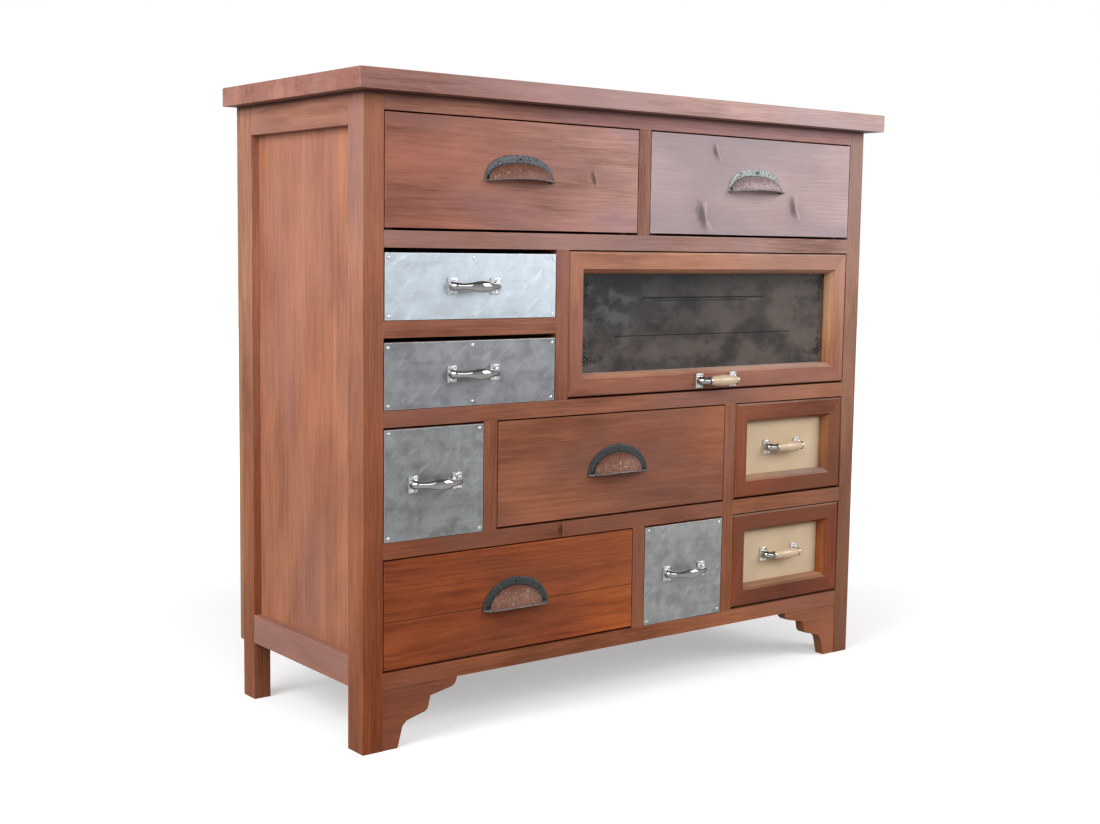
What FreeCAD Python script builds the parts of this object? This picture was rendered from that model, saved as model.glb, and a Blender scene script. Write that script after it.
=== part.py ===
import FreeCAD, Part
import math
import os

from FreeCAD import Vector

os.makedirs("parts", exist_ok=True)

# All lengths are millimetres. X runs to the right, the front faces -Y, Z is up.
# The origin is on the floor, under the middle of the top board.

# Posts, and the body between them
body_width = 928.0
post_frame_depth = 339.0
front_post_width = 30.0
front_post_depth = 38.0
rear_post_width = 26.0
rear_post_depth = 33.0

# Top board
top_thickness = 26.0
top_side_overhang = 20.0
top_front_overhang = 26.0
top_rear_overhang = 5.0
top_edge_round = 2.5

# Face frame: rails between the rows and dividers between the openings
leg_clearance = 82.0
rail_height = 22.0
rail_depth = 30.0
divider_width = 22.0
tenon_length = 8.0
tenon_thickness = 10.0
tenon_setback = 9.0
tenon_shoulder = 4.0

# Heights of the rows and widths of the bays
bottom_row_height = 150.0
middle_row_height = 150.0
small_zinc_opening_height = 93.0
top_row_height = 150.0
zinc_bay_width = 277.0
square_bay_width = 158.0
framed_bay_width = 240.0

# Side frames and their sunk panels
side_rail_height = 41.0
side_rail_thickness = 26.0
side_rail_rise = 2.0
panel_recess = 12.0
panel_thickness = 8.0
panel_groove_depth = 8.0
panel_play = 1.0

# Back, rear rails, runners and the boards round the flap's compartment
back_thickness = 10.0
rear_rail_depth = 22.0
ledge_thickness = 10.0
ledge_width = 14.0
guide_thickness = 10.0
guide_height = 26.0
board_thickness = 12.0
stop_strip_depth = 10.0
stop_strip_height = 10.0

# Corner brackets under the bottom rail
bracket_length = 117.0
bracket_foot_length = 23.5
bracket_thickness = 17.0
bracket_setback = 1.0
# The sawn edge goes from the tip to the foot in two rounded steps. Each corner is a share
# of the length beyond the foot and a share of the height, and each step starts with a round.
bracket_step_shares = (((1.0, 1.0), (0.88, 0.84), (0.55, 0.765)),
                       ((0.52, 0.635), (0.41, 0.505), (0.15, 0.425), (0.08, 0.345)))
bracket_round_share = 0.2

# Gaps round the fronts
front_side_gap = 1.5
wood_bottom_gap = 3.4
wood_top_gap = 2.1
zinc_bottom_gap = 0.8
small_zinc_front_height = 86.0
square_zinc_front_height = 146.0
flap_bottom_gap = 3.0
flap_top_gap = 2.0

# Drawer boxes
front_thickness = 20.0
box_wall = 10.0
box_housing_depth = 6.0
box_bottom_thickness = 5.0
box_bottom_rise = 6.0
box_groove_depth = 5.0
box_top_clearance = 16.0
box_back_drop = 6.0
running_gap = 0.3
guide_gap = 0.5
closed_stop_gap = 0.5
zinc_thickness = 1.0
framed_board_thickness = 14.0

# Picture-frame moulding of the flap and the framed drawers
moulding_width = 31.0
moulding_thickness = 26.0
moulding_flat_width = 24.0
moulding_edge_round = 2.5
moulding_quirk = 1.2
moulding_bevel_depth = 15.0
moulding_bevel_swell = 1.6
sight_depth = 18.0
rebate_width = 6.0
glass_thickness = 3.0
glass_play = 0.5
bead_width = 5.5

# Pivot pins of the flap
pin_radius = 2.5
pin_drop = 12.0
pin_setback = 5.0
pin_in_flap = 16.0
pin_in_post = 8.0
pin_seat_gap = 0.05
pin_running_gap = 0.1

# Cup pulls: wide ones with a flat top on the top row, and half moons below it.
# A pull's foot lies below the middle of its drawer front by its drop. A power
# of 2 gives an ellipse, and a higher one a squarer outline.
wide_flange_width = 114.0
wide_flange_height = 36.0
wide_dome_width = 103.0
wide_dome_height = 25.0
wide_power = 2.4
wide_drop = 8.6
moon_flange_width = 111.0
moon_flange_height = 42.5
moon_dome_width = 88.0
moon_dome_height = 31.0
moon_power = 2.0
moon_drop = 14.4
cup_flange_thickness = 2.0
cup_projection = 22.0
cup_wall = 2.0
cup_lip = 1.5
cup_mouth_arch = 3.5
oval_facets = 18
dome_bands = 5
arch_facets = 6

# Bow pulls, plain and with a turned grip
bow_span = 69.0
bow_plate_width = 14.5
bow_plate_height = 22.0
bow_plate_thickness = 2.5
bow_plate_bevel = 1.0
bow_projection = 25.5
bow_root_radius = 6.5
bow_neck_radius = 2.8
bow_middle_height = 15.2
bow_middle_depth = 9.6
grip_length = 52.0
grip_end_radius = 5.8
grip_middle_radius = 8.4
grip_collar_radius = 6.6
grip_collar_width = 2.5
flap_pull_rise = 13.5
bow_facets = 12
bow_steps = 18
grip_bands = 6
# Powers that set how soon the bow's ends flare and its middle swells
bow_flare_power = 4
bow_swell_power = 6

cut_overrun = 1.0

# Planes of the body
body_left = -body_width / 2
body_right = body_width / 2
top_depth = top_front_overhang + post_frame_depth + back_thickness + top_rear_overhang
front_face = top_front_overhang - top_depth / 2
rear_face = front_face + post_frame_depth
rail_rear = front_face + rail_depth
front_post_rear = front_face + front_post_depth
rear_post_front = rear_face - rear_post_depth
rear_rail_front = rear_face - rear_rail_depth
inner_left = body_left + front_post_width
inner_right = body_right - front_post_width
panel_inner = body_right - panel_recess - panel_thickness

# Heights of the rails and floors of the rows
flap_row_height = 2 * small_zinc_opening_height + rail_height
bottom_row_z = leg_clearance + rail_height
lower_rail_z = bottom_row_z + bottom_row_height
middle_row_z = lower_rail_z + rail_height
middle_rail_z = middle_row_z + middle_row_height
flap_row_z = middle_rail_z + rail_height
zinc_rail_z = flap_row_z + small_zinc_opening_height
upper_zinc_z = zinc_rail_z + rail_height
upper_rail_z = flap_row_z + flap_row_height
top_row_z = upper_rail_z + rail_height
top_rail_z = top_row_z + top_row_height
body_height = top_rail_z + rail_height
side_rail_z = leg_clearance + side_rail_rise
side_panel_floor = side_rail_z + side_rail_height
side_panel_ceiling = body_height - side_rail_height

# Left faces of the dividers
top_divider_x = (inner_left + inner_right - divider_width) / 2
flap_divider_x = inner_left + zinc_bay_width
square_divider_x = inner_left + square_bay_width
framed_divider_x = inner_right - framed_bay_width - divider_width
bottom_divider_x = framed_divider_x - square_bay_width - divider_width

# Openings of the face frame: left, right, floor and ceiling
openings = {
    "top_left_drawer": (inner_left, top_divider_x, top_row_z, top_rail_z),
    "top_right_drawer": (top_divider_x + divider_width, inner_right, top_row_z, top_rail_z),
    "upper_zinc_drawer": (inner_left, flap_divider_x, upper_zinc_z, upper_rail_z),
    "lower_zinc_drawer": (inner_left, flap_divider_x, flap_row_z, zinc_rail_z),
    "square_zinc_drawer": (inner_left, square_divider_x, middle_row_z, middle_rail_z),
    "middle_drawer": (square_divider_x + divider_width, framed_divider_x, middle_row_z, middle_rail_z),
    "upper_framed_drawer": (framed_divider_x + divider_width, inner_right, middle_row_z, middle_rail_z),
    "bottom_drawer": (inner_left, bottom_divider_x, bottom_row_z, lower_rail_z),
    "bottom_zinc_drawer": (bottom_divider_x + divider_width, framed_divider_x, bottom_row_z, lower_rail_z),
    "lower_framed_drawer": (framed_divider_x + divider_width, inner_right, bottom_row_z, lower_rail_z),
}
wood_drawers = ("top_left_drawer", "top_right_drawer", "middle_drawer", "bottom_drawer")
zinc_front_heights = {
    "upper_zinc_drawer": small_zinc_front_height,
    "lower_zinc_drawer": small_zinc_front_height,
    "square_zinc_drawer": square_zinc_front_height,
    "bottom_zinc_drawer": square_zinc_front_height,
}
framed_drawers = ("upper_framed_drawer", "lower_framed_drawer")


def save(node, *pieces):
    """Write the solids of the pieces to the node's own file."""
    solids = [solid for piece in pieces for solid in piece.Solids]
    shape = solids[0] if len(solids) == 1 else Part.makeCompound(solids)
    shape.exportStep("parts/" + node + ".step")


def block(x0, x1, y0, y1, z0, z1):
    """Rectangular solid between two opposite corners."""
    return Part.makeBox(x1 - x0, y1 - y0, z1 - z0, Vector(x0, y0, z0))


def mirrored(shape):
    """The same piece on the other side of the chest."""
    return shape.mirror(Vector(0, 0, 0), Vector(1, 0, 0))


def line(start, end):
    return Part.LineSegment(start, end).toShape()


def arc(start, middle, end):
    return Part.Arc(start, middle, end).toShape()


def make_top_board():
    x = body_width / 2 + top_side_overhang
    y = top_depth / 2
    board = block(-x, x, -y, y, body_height, body_height + top_thickness)
    eased = [edge for edge in board.Edges if edge.BoundBox.ZMax > body_height + top_edge_round]
    return board.makeFillet(top_edge_round, eased)


def tenon(face_x, outward, z):
    """Stub tenon that leaves a rail's end at face_x, to the left for -1 and to the right for 1."""
    x0, x1 = sorted((face_x, face_x + outward * tenon_length))
    y0 = front_face + tenon_setback
    return block(x0, x1, y0, y0 + tenon_thickness, z + tenon_shoulder, z + rail_height - tenon_shoulder)


def make_rail(x0, x1, z, tenon_ends=()):
    """Front rail from x0 to x1, with a stub tenon at each end that a post receives."""
    rail = block(x0, x1, front_face, rail_rear, z, z + rail_height)
    for outward in tenon_ends:
        face_x = x0 if outward < 0 else x1
        rail = rail.fuse(tenon(face_x, outward, z))
    return rail.removeSplitter()


def panel_groove(y0, y1, z0, z1):
    """Groove for the side panel, or the tongue that fills it, on the left side."""
    x0 = body_left + panel_recess
    return block(x0, x0 + panel_thickness, y0, y1, z0, z1)


def make_front_post():
    """Left front post, with five mortises and the groove for the side frame."""
    post = block(body_left, inner_left, front_face, front_post_rear, 0, body_height)
    post = post.cut(panel_groove(front_post_rear - panel_groove_depth, front_post_rear,
                                 leg_clearance + side_rail_rise, body_height))
    for z in (leg_clearance, lower_rail_z, middle_rail_z, upper_rail_z, top_rail_z):
        post = post.cut(tenon(inner_left, -1, z))
    return post


def make_rear_post():
    post = block(body_left, body_left + rear_post_width, rear_post_front, rear_face, 0, body_height)
    return post.cut(panel_groove(rear_post_front, rear_post_front + panel_groove_depth,
                                 leg_clearance + side_rail_rise, body_height))


def make_side_rail(z0, edge_z):
    """Left side rail with a tongue at each end and the panel's groove in the edge at edge_z."""
    z1 = z0 + side_rail_height
    tongue_front = front_post_rear - panel_groove_depth
    tongue_rear = rear_post_front + panel_groove_depth
    rail = block(body_left, body_left + side_rail_thickness, front_post_rear, rear_post_front, z0, z1)
    rail = rail.fuse(panel_groove(tongue_front, tongue_rear, z0, z1))
    inward = -panel_groove_depth if edge_z == z1 else panel_groove_depth
    groove_z0, groove_z1 = sorted((edge_z, edge_z + inward))
    return rail.cut(panel_groove(tongue_front, tongue_rear, groove_z0, groove_z1))


def make_side_panel():
    """Left side panel, held in the grooves of two posts and two rails with play at its edges."""
    reach = panel_groove_depth - panel_play
    return panel_groove(front_post_rear - reach, rear_post_front + reach,
                        side_panel_floor - reach, side_panel_ceiling + reach)


def make_bracket():
    """Left bracket: a board sawn in two rounded steps from its tip down to its foot."""
    foot_x = inner_left + bracket_foot_length
    length = bracket_length - bracket_foot_length
    y = front_face + bracket_setback
    start = Vector(inner_left, y, leg_clearance)
    edges = []
    for step in bracket_step_shares:
        corners = [Vector(foot_x + a * length, y, b * leg_clearance) for a, b in step]
        edges.append(line(start, corners[0]))
        chord = corners[1] - corners[0]
        outward = Vector(-chord.z, 0, chord.x) * bracket_round_share
        edges.append(arc(corners[0], (corners[0] + corners[1]) / 2 + outward, corners[1]))
        edges += [line(a, b) for a, b in zip(corners[1:], corners[2:])]
        start = corners[-1]
    path = [start, Vector(foot_x, y, 0), Vector(inner_left, y, 0), Vector(inner_left, y, leg_clearance)]
    edges += [line(a, b) for a, b in zip(path, path[1:])]
    return Part.Face(Part.Wire(edges)).extrude(Vector(0, bracket_thickness, 0))


def make_divider(x, z0, z1):
    return block(x, x + divider_width, front_face, rail_rear, z0, z1)


def make_runner(edge_x, inward, floor_z, rear_y):
    """Runner beside an opening's edge: a ledge that carries the drawer and a guide at its side."""
    ledge_x0, ledge_x1 = sorted((edge_x, edge_x + inward * (guide_thickness + ledge_width)))
    guide_x0, guide_x1 = sorted((edge_x, edge_x + inward * guide_thickness))
    ledge = block(ledge_x0, ledge_x1, rail_rear, rear_y, floor_z - ledge_thickness, floor_z)
    guide = block(guide_x0, guide_x1, rail_rear, rear_y, floor_z, floor_z + guide_height)
    return ledge.fuse(guide).removeSplitter()


def make_compartment_boards():
    """Floor, ceiling and partition of the flap's compartment, and the strip the flap stops on."""
    right = flap_divider_x + divider_width
    left = right - board_thickness
    boards = []
    for z in (flap_row_z - board_thickness, upper_rail_z):
        board = block(left, inner_right, rail_rear, rear_rail_front, z, z + board_thickness)
        ear = block(inner_right, panel_inner, front_post_rear, rear_post_front, z, z + board_thickness)
        boards.append(board.fuse(ear).removeSplitter())
    boards.append(block(left, right, rail_rear, rear_face, flap_row_z, upper_rail_z))
    strip_front = front_face + moulding_thickness + closed_stop_gap
    boards.append(block(right, inner_right, strip_front, strip_front + stop_strip_depth,
                        flap_row_z, flap_row_z + stop_strip_height))
    return boards


def box_sides_x(opening):
    """Outer faces of the drawer box that runs in an opening."""
    inset = guide_thickness + guide_gap
    return opening[0] + inset, opening[1] - inset


def make_drawer_box(opening, side_front, board_rear):
    """Two sides, a back and a bottom. side_front is where the sides begin, inside the housings
    of the front board, and board_rear is that board's rear face."""
    x0, x1 = box_sides_x(opening)
    z0 = opening[2] + running_gap
    z1 = opening[3] - box_top_clearance
    rear = rear_face - closed_stop_gap
    bottom_z = z0 + box_bottom_rise
    bottom = block(x0 + box_wall - box_groove_depth, x1 - box_wall + box_groove_depth,
                   board_rear - box_groove_depth, rear, bottom_z, bottom_z + box_bottom_thickness)
    back = block(x0 + box_wall - box_groove_depth, x1 - box_wall + box_groove_depth,
                 rear - 2 * box_wall, rear - box_wall,
                 bottom_z + box_bottom_thickness, z1 - box_back_drop)
    sides = []
    for side_x in (x0, x1 - box_wall):
        side = block(side_x, side_x + box_wall, side_front, rear, z0, z1)
        sides.append(side.cut(bottom).cut(back))
    return [*sides, back, bottom]


def make_front_board(opening, front_y, rear_y, bottom_z, top_z, x0, x1):
    """Front board with housings for the box sides and a groove for the bottom in its rear face."""
    board = block(x0, x1, front_y, rear_y, bottom_z, top_z)
    for piece in make_drawer_box(opening, rear_y - box_housing_depth, rear_y):
        board = board.cut(piece)
    return board


def front_span(opening):
    """Left and right ends of the front that closes an opening."""
    return opening[0] + front_side_gap, opening[1] - front_side_gap


def make_wood_drawer(node):
    opening = openings[node]
    x0, x1 = front_span(opening)
    z0 = opening[2] + wood_bottom_gap
    z1 = opening[3] - wood_top_gap
    board_rear = front_face + front_thickness
    save(node + "_front", make_front_board(opening, front_face, board_rear, z0, z1, x0, x1))
    save(node + "_box", *make_drawer_box(opening, board_rear - box_housing_depth, board_rear))
    middle = Vector((x0 + x1) / 2, front_face, (z0 + z1) / 2)
    if opening[2] == top_row_z:
        pull = make_cup_pull(middle - Vector(0, 0, wide_drop), wide_flange_width, wide_flange_height,
                             wide_dome_width, wide_dome_height, wide_power)
    else:
        pull = make_cup_pull(middle - Vector(0, 0, moon_drop), moon_flange_width, moon_flange_height,
                             moon_dome_width, moon_dome_height, moon_power)
    save(node + "_pull", pull)


def make_zinc_drawer(node, front_height):
    opening = openings[node]
    x0, x1 = front_span(opening)
    z0 = opening[2] + zinc_bottom_gap
    z1 = z0 + front_height
    core_front = front_face + zinc_thickness
    board_rear = front_face + front_thickness
    core = make_front_board(opening, core_front, board_rear, z0, z1, x0, x1)
    save(node + "_box", core, *make_drawer_box(opening, board_rear - box_housing_depth, board_rear))
    save(node + "_sheet", block(x0, x1, front_face, core_front, z0, z1))
    save(node + "_pull", *make_bow_pull(Vector((x0 + x1) / 2, front_face, (z0 + z1) / 2)))


def make_framed_drawer(node):
    opening = openings[node]
    x0, x1 = front_span(opening)
    z0 = opening[2] + wood_bottom_gap
    z1 = opening[3] - wood_top_gap
    centre = Vector((x0 + x1) / 2, front_face, (z0 + z1) / 2)
    inset = moulding_width - rebate_width
    panel_face = front_face + sight_depth
    frame_rear = front_face + moulding_thickness
    board_rear = frame_rear + framed_board_thickness
    board_x0, board_x1 = box_sides_x(opening)
    board = make_front_board(opening, frame_rear, board_rear, z0, opening[3] - box_top_clearance,
                             board_x0, board_x1)
    save(node + "_frame", *mitred_frame(moulding_section(), x1 - x0, z1 - z0, centre))
    save(node + "_panel", block(x0 + inset, x1 - inset, panel_face, frame_rear, z0 + inset, z1 - inset))
    save(node + "_box", board, *make_drawer_box(opening, board_rear - box_housing_depth, board_rear))
    ends, grip = make_grip_pull(Vector(centre.x, panel_face, centre.z))
    save(node + "_pull", *ends)
    save(node + "_grip", grip)


def section_face(edges):
    return Part.Face(Part.Wire(edges))


def moulding_section():
    """Section of the moulding. Its outer edge lies at Z = 0 and its face at Y = 0, facing -Y."""
    back_corner = Vector(0, moulding_thickness, 0)
    edge_start = Vector(0, moulding_edge_round, 0)
    edge_end = Vector(0, 0, moulding_edge_round)
    reach = moulding_edge_round * (1 - math.cos(math.pi / 4))
    flat_end = Vector(0, 0, moulding_flat_width)
    bevel_start = Vector(0, moulding_quirk, moulding_flat_width)
    bevel_end = Vector(0, moulding_bevel_depth, moulding_width)
    run = bevel_end - bevel_start
    swell = Vector(0, -run.z, run.y).normalize() * moulding_bevel_swell
    bevel_middle = (bevel_start + bevel_end) / 2 + swell
    sight_edge = Vector(0, sight_depth, moulding_width)
    rebate_corner = Vector(0, sight_depth, moulding_width - rebate_width)
    rebate_back = Vector(0, moulding_thickness, moulding_width - rebate_width)
    return section_face([
        line(back_corner, edge_start),
        arc(edge_start, Vector(0, reach, reach), edge_end),
        line(edge_end, flat_end),
        line(flat_end, bevel_start),
        arc(bevel_start, bevel_middle, bevel_end),
        line(bevel_end, sight_edge),
        line(sight_edge, rebate_corner),
        line(rebate_corner, rebate_back),
        line(rebate_back, back_corner),
    ])


def bead_section():
    """Section of the strip that holds the glass in its rebate."""
    y0 = sight_depth + glass_thickness
    corners = [Vector(0, y0, 0), Vector(0, y0, bead_width),
               Vector(0, moulding_thickness, bead_width), Vector(0, moulding_thickness, 0)]
    return section_face([line(a, b) for a, b in zip(corners, corners[1:] + corners[:1])])


def mitred_frame(section, width, height, centre):
    """Four lengths of a section, mitred at the corners of a frame round a centre."""
    bounds = section.BoundBox
    reach = bounds.ZMax + cut_overrun
    low_y = bounds.YMin - cut_overrun
    through = Vector(0, bounds.YMax + cut_overrun - low_y, 0)
    members = []
    for turn in range(4):
        length, across = (width, height) if turn % 2 == 0 else (height, width)
        member = section.extrude(Vector(length, 0, 0))
        for end_x, inward in ((0, 1), (length, -1)):
            tip = Vector(end_x - inward * cut_overrun, low_y, -cut_overrun)
            corners = [tip, tip + Vector(0, 0, reach + cut_overrun),
                       tip + Vector(inward * (reach + cut_overrun), 0, reach + cut_overrun)]
            wedge = section_face([line(a, b) for a, b in zip(corners, corners[1:] + corners[:1])])
            member = member.cut(wedge.extrude(through))
        member.translate(Vector(-length / 2, 0, -across / 2))
        member.rotate(Vector(0, 0, 0), Vector(0, 1, 0), turn * 90)
        member.translate(centre)
        members.append(member)
    return members


def skin(rings):
    """Solid inside a skin of flat facets, stretched over rings of points and closed at both ends."""
    faces = []
    for ring, following in zip(rings, rings[1:]):
        for a, b, c, d in zip(ring, ring[1:] + ring[:1], following[1:] + following[:1], following):
            for corners in ((a, b, c), (a, c, d)):
                faces.append(Part.Face(Part.makePolygon([*corners, corners[0]])))
    for ring in (rings[0], rings[-1]):
        faces.append(Part.Face(Part.makePolygon([*ring, ring[0]])))
    return Part.Solid(Part.Shell(faces)).removeSplitter()


def squared(share, power):
    """Share of an oval's half axis, from the cosine or sine of a turn round it."""
    return math.copysign(abs(share) ** (2 / power), share)


def half_oval(half_width, reach, z, power):
    """Points of a half oval at a height, bulging towards -Y, with its straight side at Y = 0."""
    turns = [math.pi * index / oval_facets for index in range(oval_facets + 1)]
    return [Vector(half_width * squared(math.cos(turn), power), -reach * squared(math.sin(turn), power), z)
            for turn in turns]


def quarter_dome(half_width, reach, height, power):
    """Quarter of a rounded box or ellipsoid in level bands, flat at the very top."""
    rises = [math.pi / 2 * band / dome_bands for band in range(dome_bands)]
    rings = []
    for rise in rises:
        inward = squared(math.cos(rise), power)
        z = height * squared(math.sin(rise), power)
        rings.append(half_oval(half_width * inward, reach * inward, z, power))
    return skin(rings)


def under_arch(half_width, rise):
    """Space under the arch of a cup's mouth, raised by a rise, as deep as the cup projects."""
    corners = [Vector(side * half_width, 0, -cut_overrun) for side in (1, -1)]
    for step in range(arch_facets + 1):
        turn = math.pi * step / arch_facets
        corners.append(Vector(-half_width * math.cos(turn), 0, rise + cup_mouth_arch * math.sin(turn) ** 2))
    face = Part.Face(Part.makePolygon([*corners, corners[0]]))
    return face.extrude(Vector(0, -cup_projection - cup_lip - cut_overrun, 0))


def make_cup_pull(foot, flange_width, flange_height, dome_width, dome_height, power):
    """Bin pull: a flange, a hollow dome that opens downwards, and a lip along its arched mouth."""
    outline = half_oval(flange_width / 2, flange_height, 0, power)
    plate = Part.Face(Part.makePolygon([*outline, outline[0]]))
    plate.rotate(Vector(0, 0, 0), Vector(1, 0, 0), -90)
    plate = plate.extrude(Vector(0, -cup_flange_thickness, 0))
    dome = quarter_dome(dome_width / 2, cup_projection, dome_height, power)
    hollow = quarter_dome(dome_width / 2 - cup_wall, cup_projection - cup_wall, dome_height - cup_wall, power)
    lip_edge = half_oval(flange_width / 2, cup_projection + cup_lip, 0, power)
    lip_plan = Part.Face(Part.makePolygon([*lip_edge, lip_edge[0]]))
    lip = lip_plan.extrude(Vector(0, 0, cup_mouth_arch + cup_lip))
    lip = lip.common(under_arch(flange_width / 2, cup_lip))
    cup = dome.fuse(lip).cut(under_arch(flange_width / 2, 0))
    pull = plate.fuse(cup).cut(hollow).removeSplitter()
    pull.translate(foot)
    return pull


def bow_point(turn, reach):
    """Centre of the bow at a turn from 0 at the left plate to 180 degrees at the right one."""
    return Vector(-math.cos(turn) * bow_span / 2, -bow_plate_thickness - reach * math.sin(turn), 0)


def bow_section(turn, reach, middle_height, middle_depth):
    """Faceted ring round the bow: flared at the plates, waisted at the necks, oval in the middle."""
    nudge = math.pi / 1000
    before = bow_point(max(turn - nudge, 0), reach)
    after = bow_point(min(turn + nudge, math.pi), reach)
    along = (after - before).normalize()
    radius = bow_neck_radius + abs(math.cos(turn)) ** bow_flare_power * (bow_root_radius - bow_neck_radius)
    swell = math.sin(turn) ** bow_swell_power
    depth = radius + swell * (middle_depth / 2 - bow_neck_radius)
    height = radius + swell * (middle_height / 2 - bow_neck_radius)
    centre = bow_point(turn, reach)
    side = along.cross(Vector(0, 0, 1))
    ring = []
    for index in range(bow_facets):
        round_turn = 2 * math.pi * (index + 0.5) / bow_facets
        ring.append(centre + side * (depth * math.cos(round_turn))
                    + Vector(0, 0, height * math.sin(round_turn)))
    return ring


def make_bow(reach, middle_height, middle_depth):
    """Bar that rises from the left plate, bows forward over the fingers and returns."""
    turns = [math.pi * step / bow_steps for step in range(bow_steps + 1)]
    return skin([bow_section(turn, reach, middle_height, middle_depth) for turn in turns])


def bow_plate(x):
    """Plate under one end of a bow, with its front edges bevelled."""
    plate = block(x - bow_plate_width / 2, x + bow_plate_width / 2, -bow_plate_thickness, 0,
                  -bow_plate_height / 2, bow_plate_height / 2)
    rim = [edge for edge in plate.Edges if edge.BoundBox.YMax < -bow_plate_thickness / 2]
    return plate.makeChamfer(bow_plate_bevel, rim)


def make_bow_pull(centre):
    """Cast bow pull: two plates and the bar between them, in one piece."""
    reach = bow_projection - bow_middle_depth / 2 - bow_plate_thickness
    pull = make_bow(reach, bow_middle_height, bow_middle_depth)
    for x in (-bow_span / 2, bow_span / 2):
        pull = pull.fuse(bow_plate(x))
    pull.translate(centre)
    return [pull]


def turned_ring(x, radius):
    """Faceted ring round the axis of the turned grip."""
    axis_y = grip_middle_radius - bow_projection
    turns = [2 * math.pi * (index + 0.5) / bow_facets for index in range(bow_facets)]
    return [Vector(x, axis_y + radius * math.sin(turn), radius * math.cos(turn)) for turn in turns]


def make_grip_pull(centre):
    """Bow pull in two metal ends with collars, and the turned grip that they hold between them."""
    half = grip_length / 2
    cut_turn = math.acos(grip_length / bow_span)
    axis_reach = bow_projection - grip_middle_radius - bow_plate_thickness
    bow = make_bow(axis_reach / math.sin(cut_turn), 2 * bow_neck_radius, 2 * bow_neck_radius)
    middle = block(-half, half, -2 * bow_projection, 0, -bow_plate_height, bow_plate_height)
    ends = []
    for end in bow.cut(middle).Solids:
        side = 1 if end.CenterOfMass.x > 0 else -1
        collar_ends = sorted((side * half, side * (half + grip_collar_width)))
        collar = skin([turned_ring(x, grip_collar_radius) for x in collar_ends])
        ends.append(end.fuse(bow_plate(side * bow_span / 2)).fuse(collar))
    rings = []
    for band in range(grip_bands + 1):
        x = half * (2 * band / grip_bands - 1)
        swell = math.cos(math.pi * x / grip_length) * (grip_middle_radius - grip_end_radius)
        rings.append(turned_ring(x, grip_end_radius + swell))
    grip = skin(rings)
    for piece in [*ends, grip]:
        piece.translate(centre)
    return ends, grip


def make_flap():
    """Glazed flap that lifts on two pins near its top edge."""
    x0 = flap_divider_x + divider_width + front_side_gap
    x1 = inner_right - front_side_gap
    z0 = flap_row_z + flap_bottom_gap
    z1 = upper_rail_z - flap_top_gap
    centre = Vector((x0 + x1) / 2, front_face, (z0 + z1) / 2)
    inset = moulding_width - rebate_width
    seats = [flap_pin(side, pin_seat_gap, 0) for side in (-1, 1)]
    frame = mitred_frame(moulding_section(), x1 - x0, z1 - z0, centre)
    save("flap_frame", *[member.cut(seats[0]).cut(seats[1]) for member in frame])
    glass_inset = inset + glass_play
    glass_y = front_face + sight_depth
    save("flap_glass", block(x0 + glass_inset, x1 - glass_inset, glass_y, glass_y + glass_thickness,
                             z0 + glass_inset, z1 - glass_inset))
    save("flap_beads", *mitred_frame(bead_section(), x1 - x0 - 2 * inset, z1 - z0 - 2 * inset, centre))
    save("flap_pins", *[flap_pin(side, 0, 0) for side in (-1, 1)])
    ends, grip = make_grip_pull(Vector(centre.x, front_face, z0 + flap_pull_rise))
    save("flap_pull", *ends)
    save("flap_grip", grip)


def flap_pin(side, radial_gap, end_gap):
    """Pivot pin at the flap's left (-1) or right (1) end, or the hole that holds it."""
    edge_x = inner_right if side > 0 else flap_divider_x + divider_width
    inner_x = edge_x - side * (front_side_gap + pin_in_flap)
    length = front_side_gap + pin_in_flap + pin_in_post + end_gap
    start = Vector(inner_x, front_face + pin_setback, upper_rail_z - flap_top_gap - pin_drop)
    return Part.makeCylinder(pin_radius + radial_gap, length, start, Vector(side, 0, 0))


# Carcass
save("top_board", make_top_board())
front_post = make_front_post()
save("front_left_post", front_post)
save("front_right_post", mirrored(front_post).cut(flap_pin(1, pin_running_gap, pin_running_gap)))
rear_post = make_rear_post()
save("rear_left_post", rear_post)
save("rear_right_post", mirrored(rear_post))
lower_side_rail = make_side_rail(side_rail_z, side_panel_floor)
upper_side_rail = make_side_rail(side_panel_ceiling, side_panel_ceiling)
save("side_rails", lower_side_rail, upper_side_rail, mirrored(lower_side_rail), mirrored(upper_side_rail))
side_panel = make_side_panel()
save("left_side_panel", side_panel)
save("right_side_panel", mirrored(side_panel))
save("front_top_rail", make_rail(inner_left, inner_right, top_rail_z, (-1, 1)))
save("upper_rail", make_rail(inner_left, inner_right, upper_rail_z, (-1, 1)))
save("middle_rail", make_rail(inner_left, inner_right, middle_rail_z, (-1, 1)))
save("lower_rail", make_rail(inner_left, framed_divider_x, lower_rail_z, (-1,)))
save("bottom_rail", make_rail(inner_left, inner_right, leg_clearance, (-1, 1)))
save("short_rails", make_rail(inner_left, flap_divider_x, zinc_rail_z),
     make_rail(framed_divider_x + divider_width, inner_right, lower_rail_z, (1,)))
flap_divider = make_divider(flap_divider_x, flap_row_z, upper_rail_z)
save("front_dividers",
     make_divider(top_divider_x, top_row_z, top_rail_z),
     flap_divider.cut(flap_pin(-1, pin_running_gap, pin_running_gap)),
     make_divider(square_divider_x, middle_row_z, middle_rail_z),
     make_divider(bottom_divider_x, bottom_row_z, lower_rail_z),
     make_divider(framed_divider_x, bottom_row_z, middle_rail_z))
bracket = make_bracket()
save("front_brackets", bracket, mirrored(bracket))
save("back_panel", block(body_left, body_right, rear_face, rear_face + back_thickness,
                         leg_clearance, body_height))
rear_inner_left = body_left + rear_post_width
partition_left = flap_divider_x + divider_width - board_thickness
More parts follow.
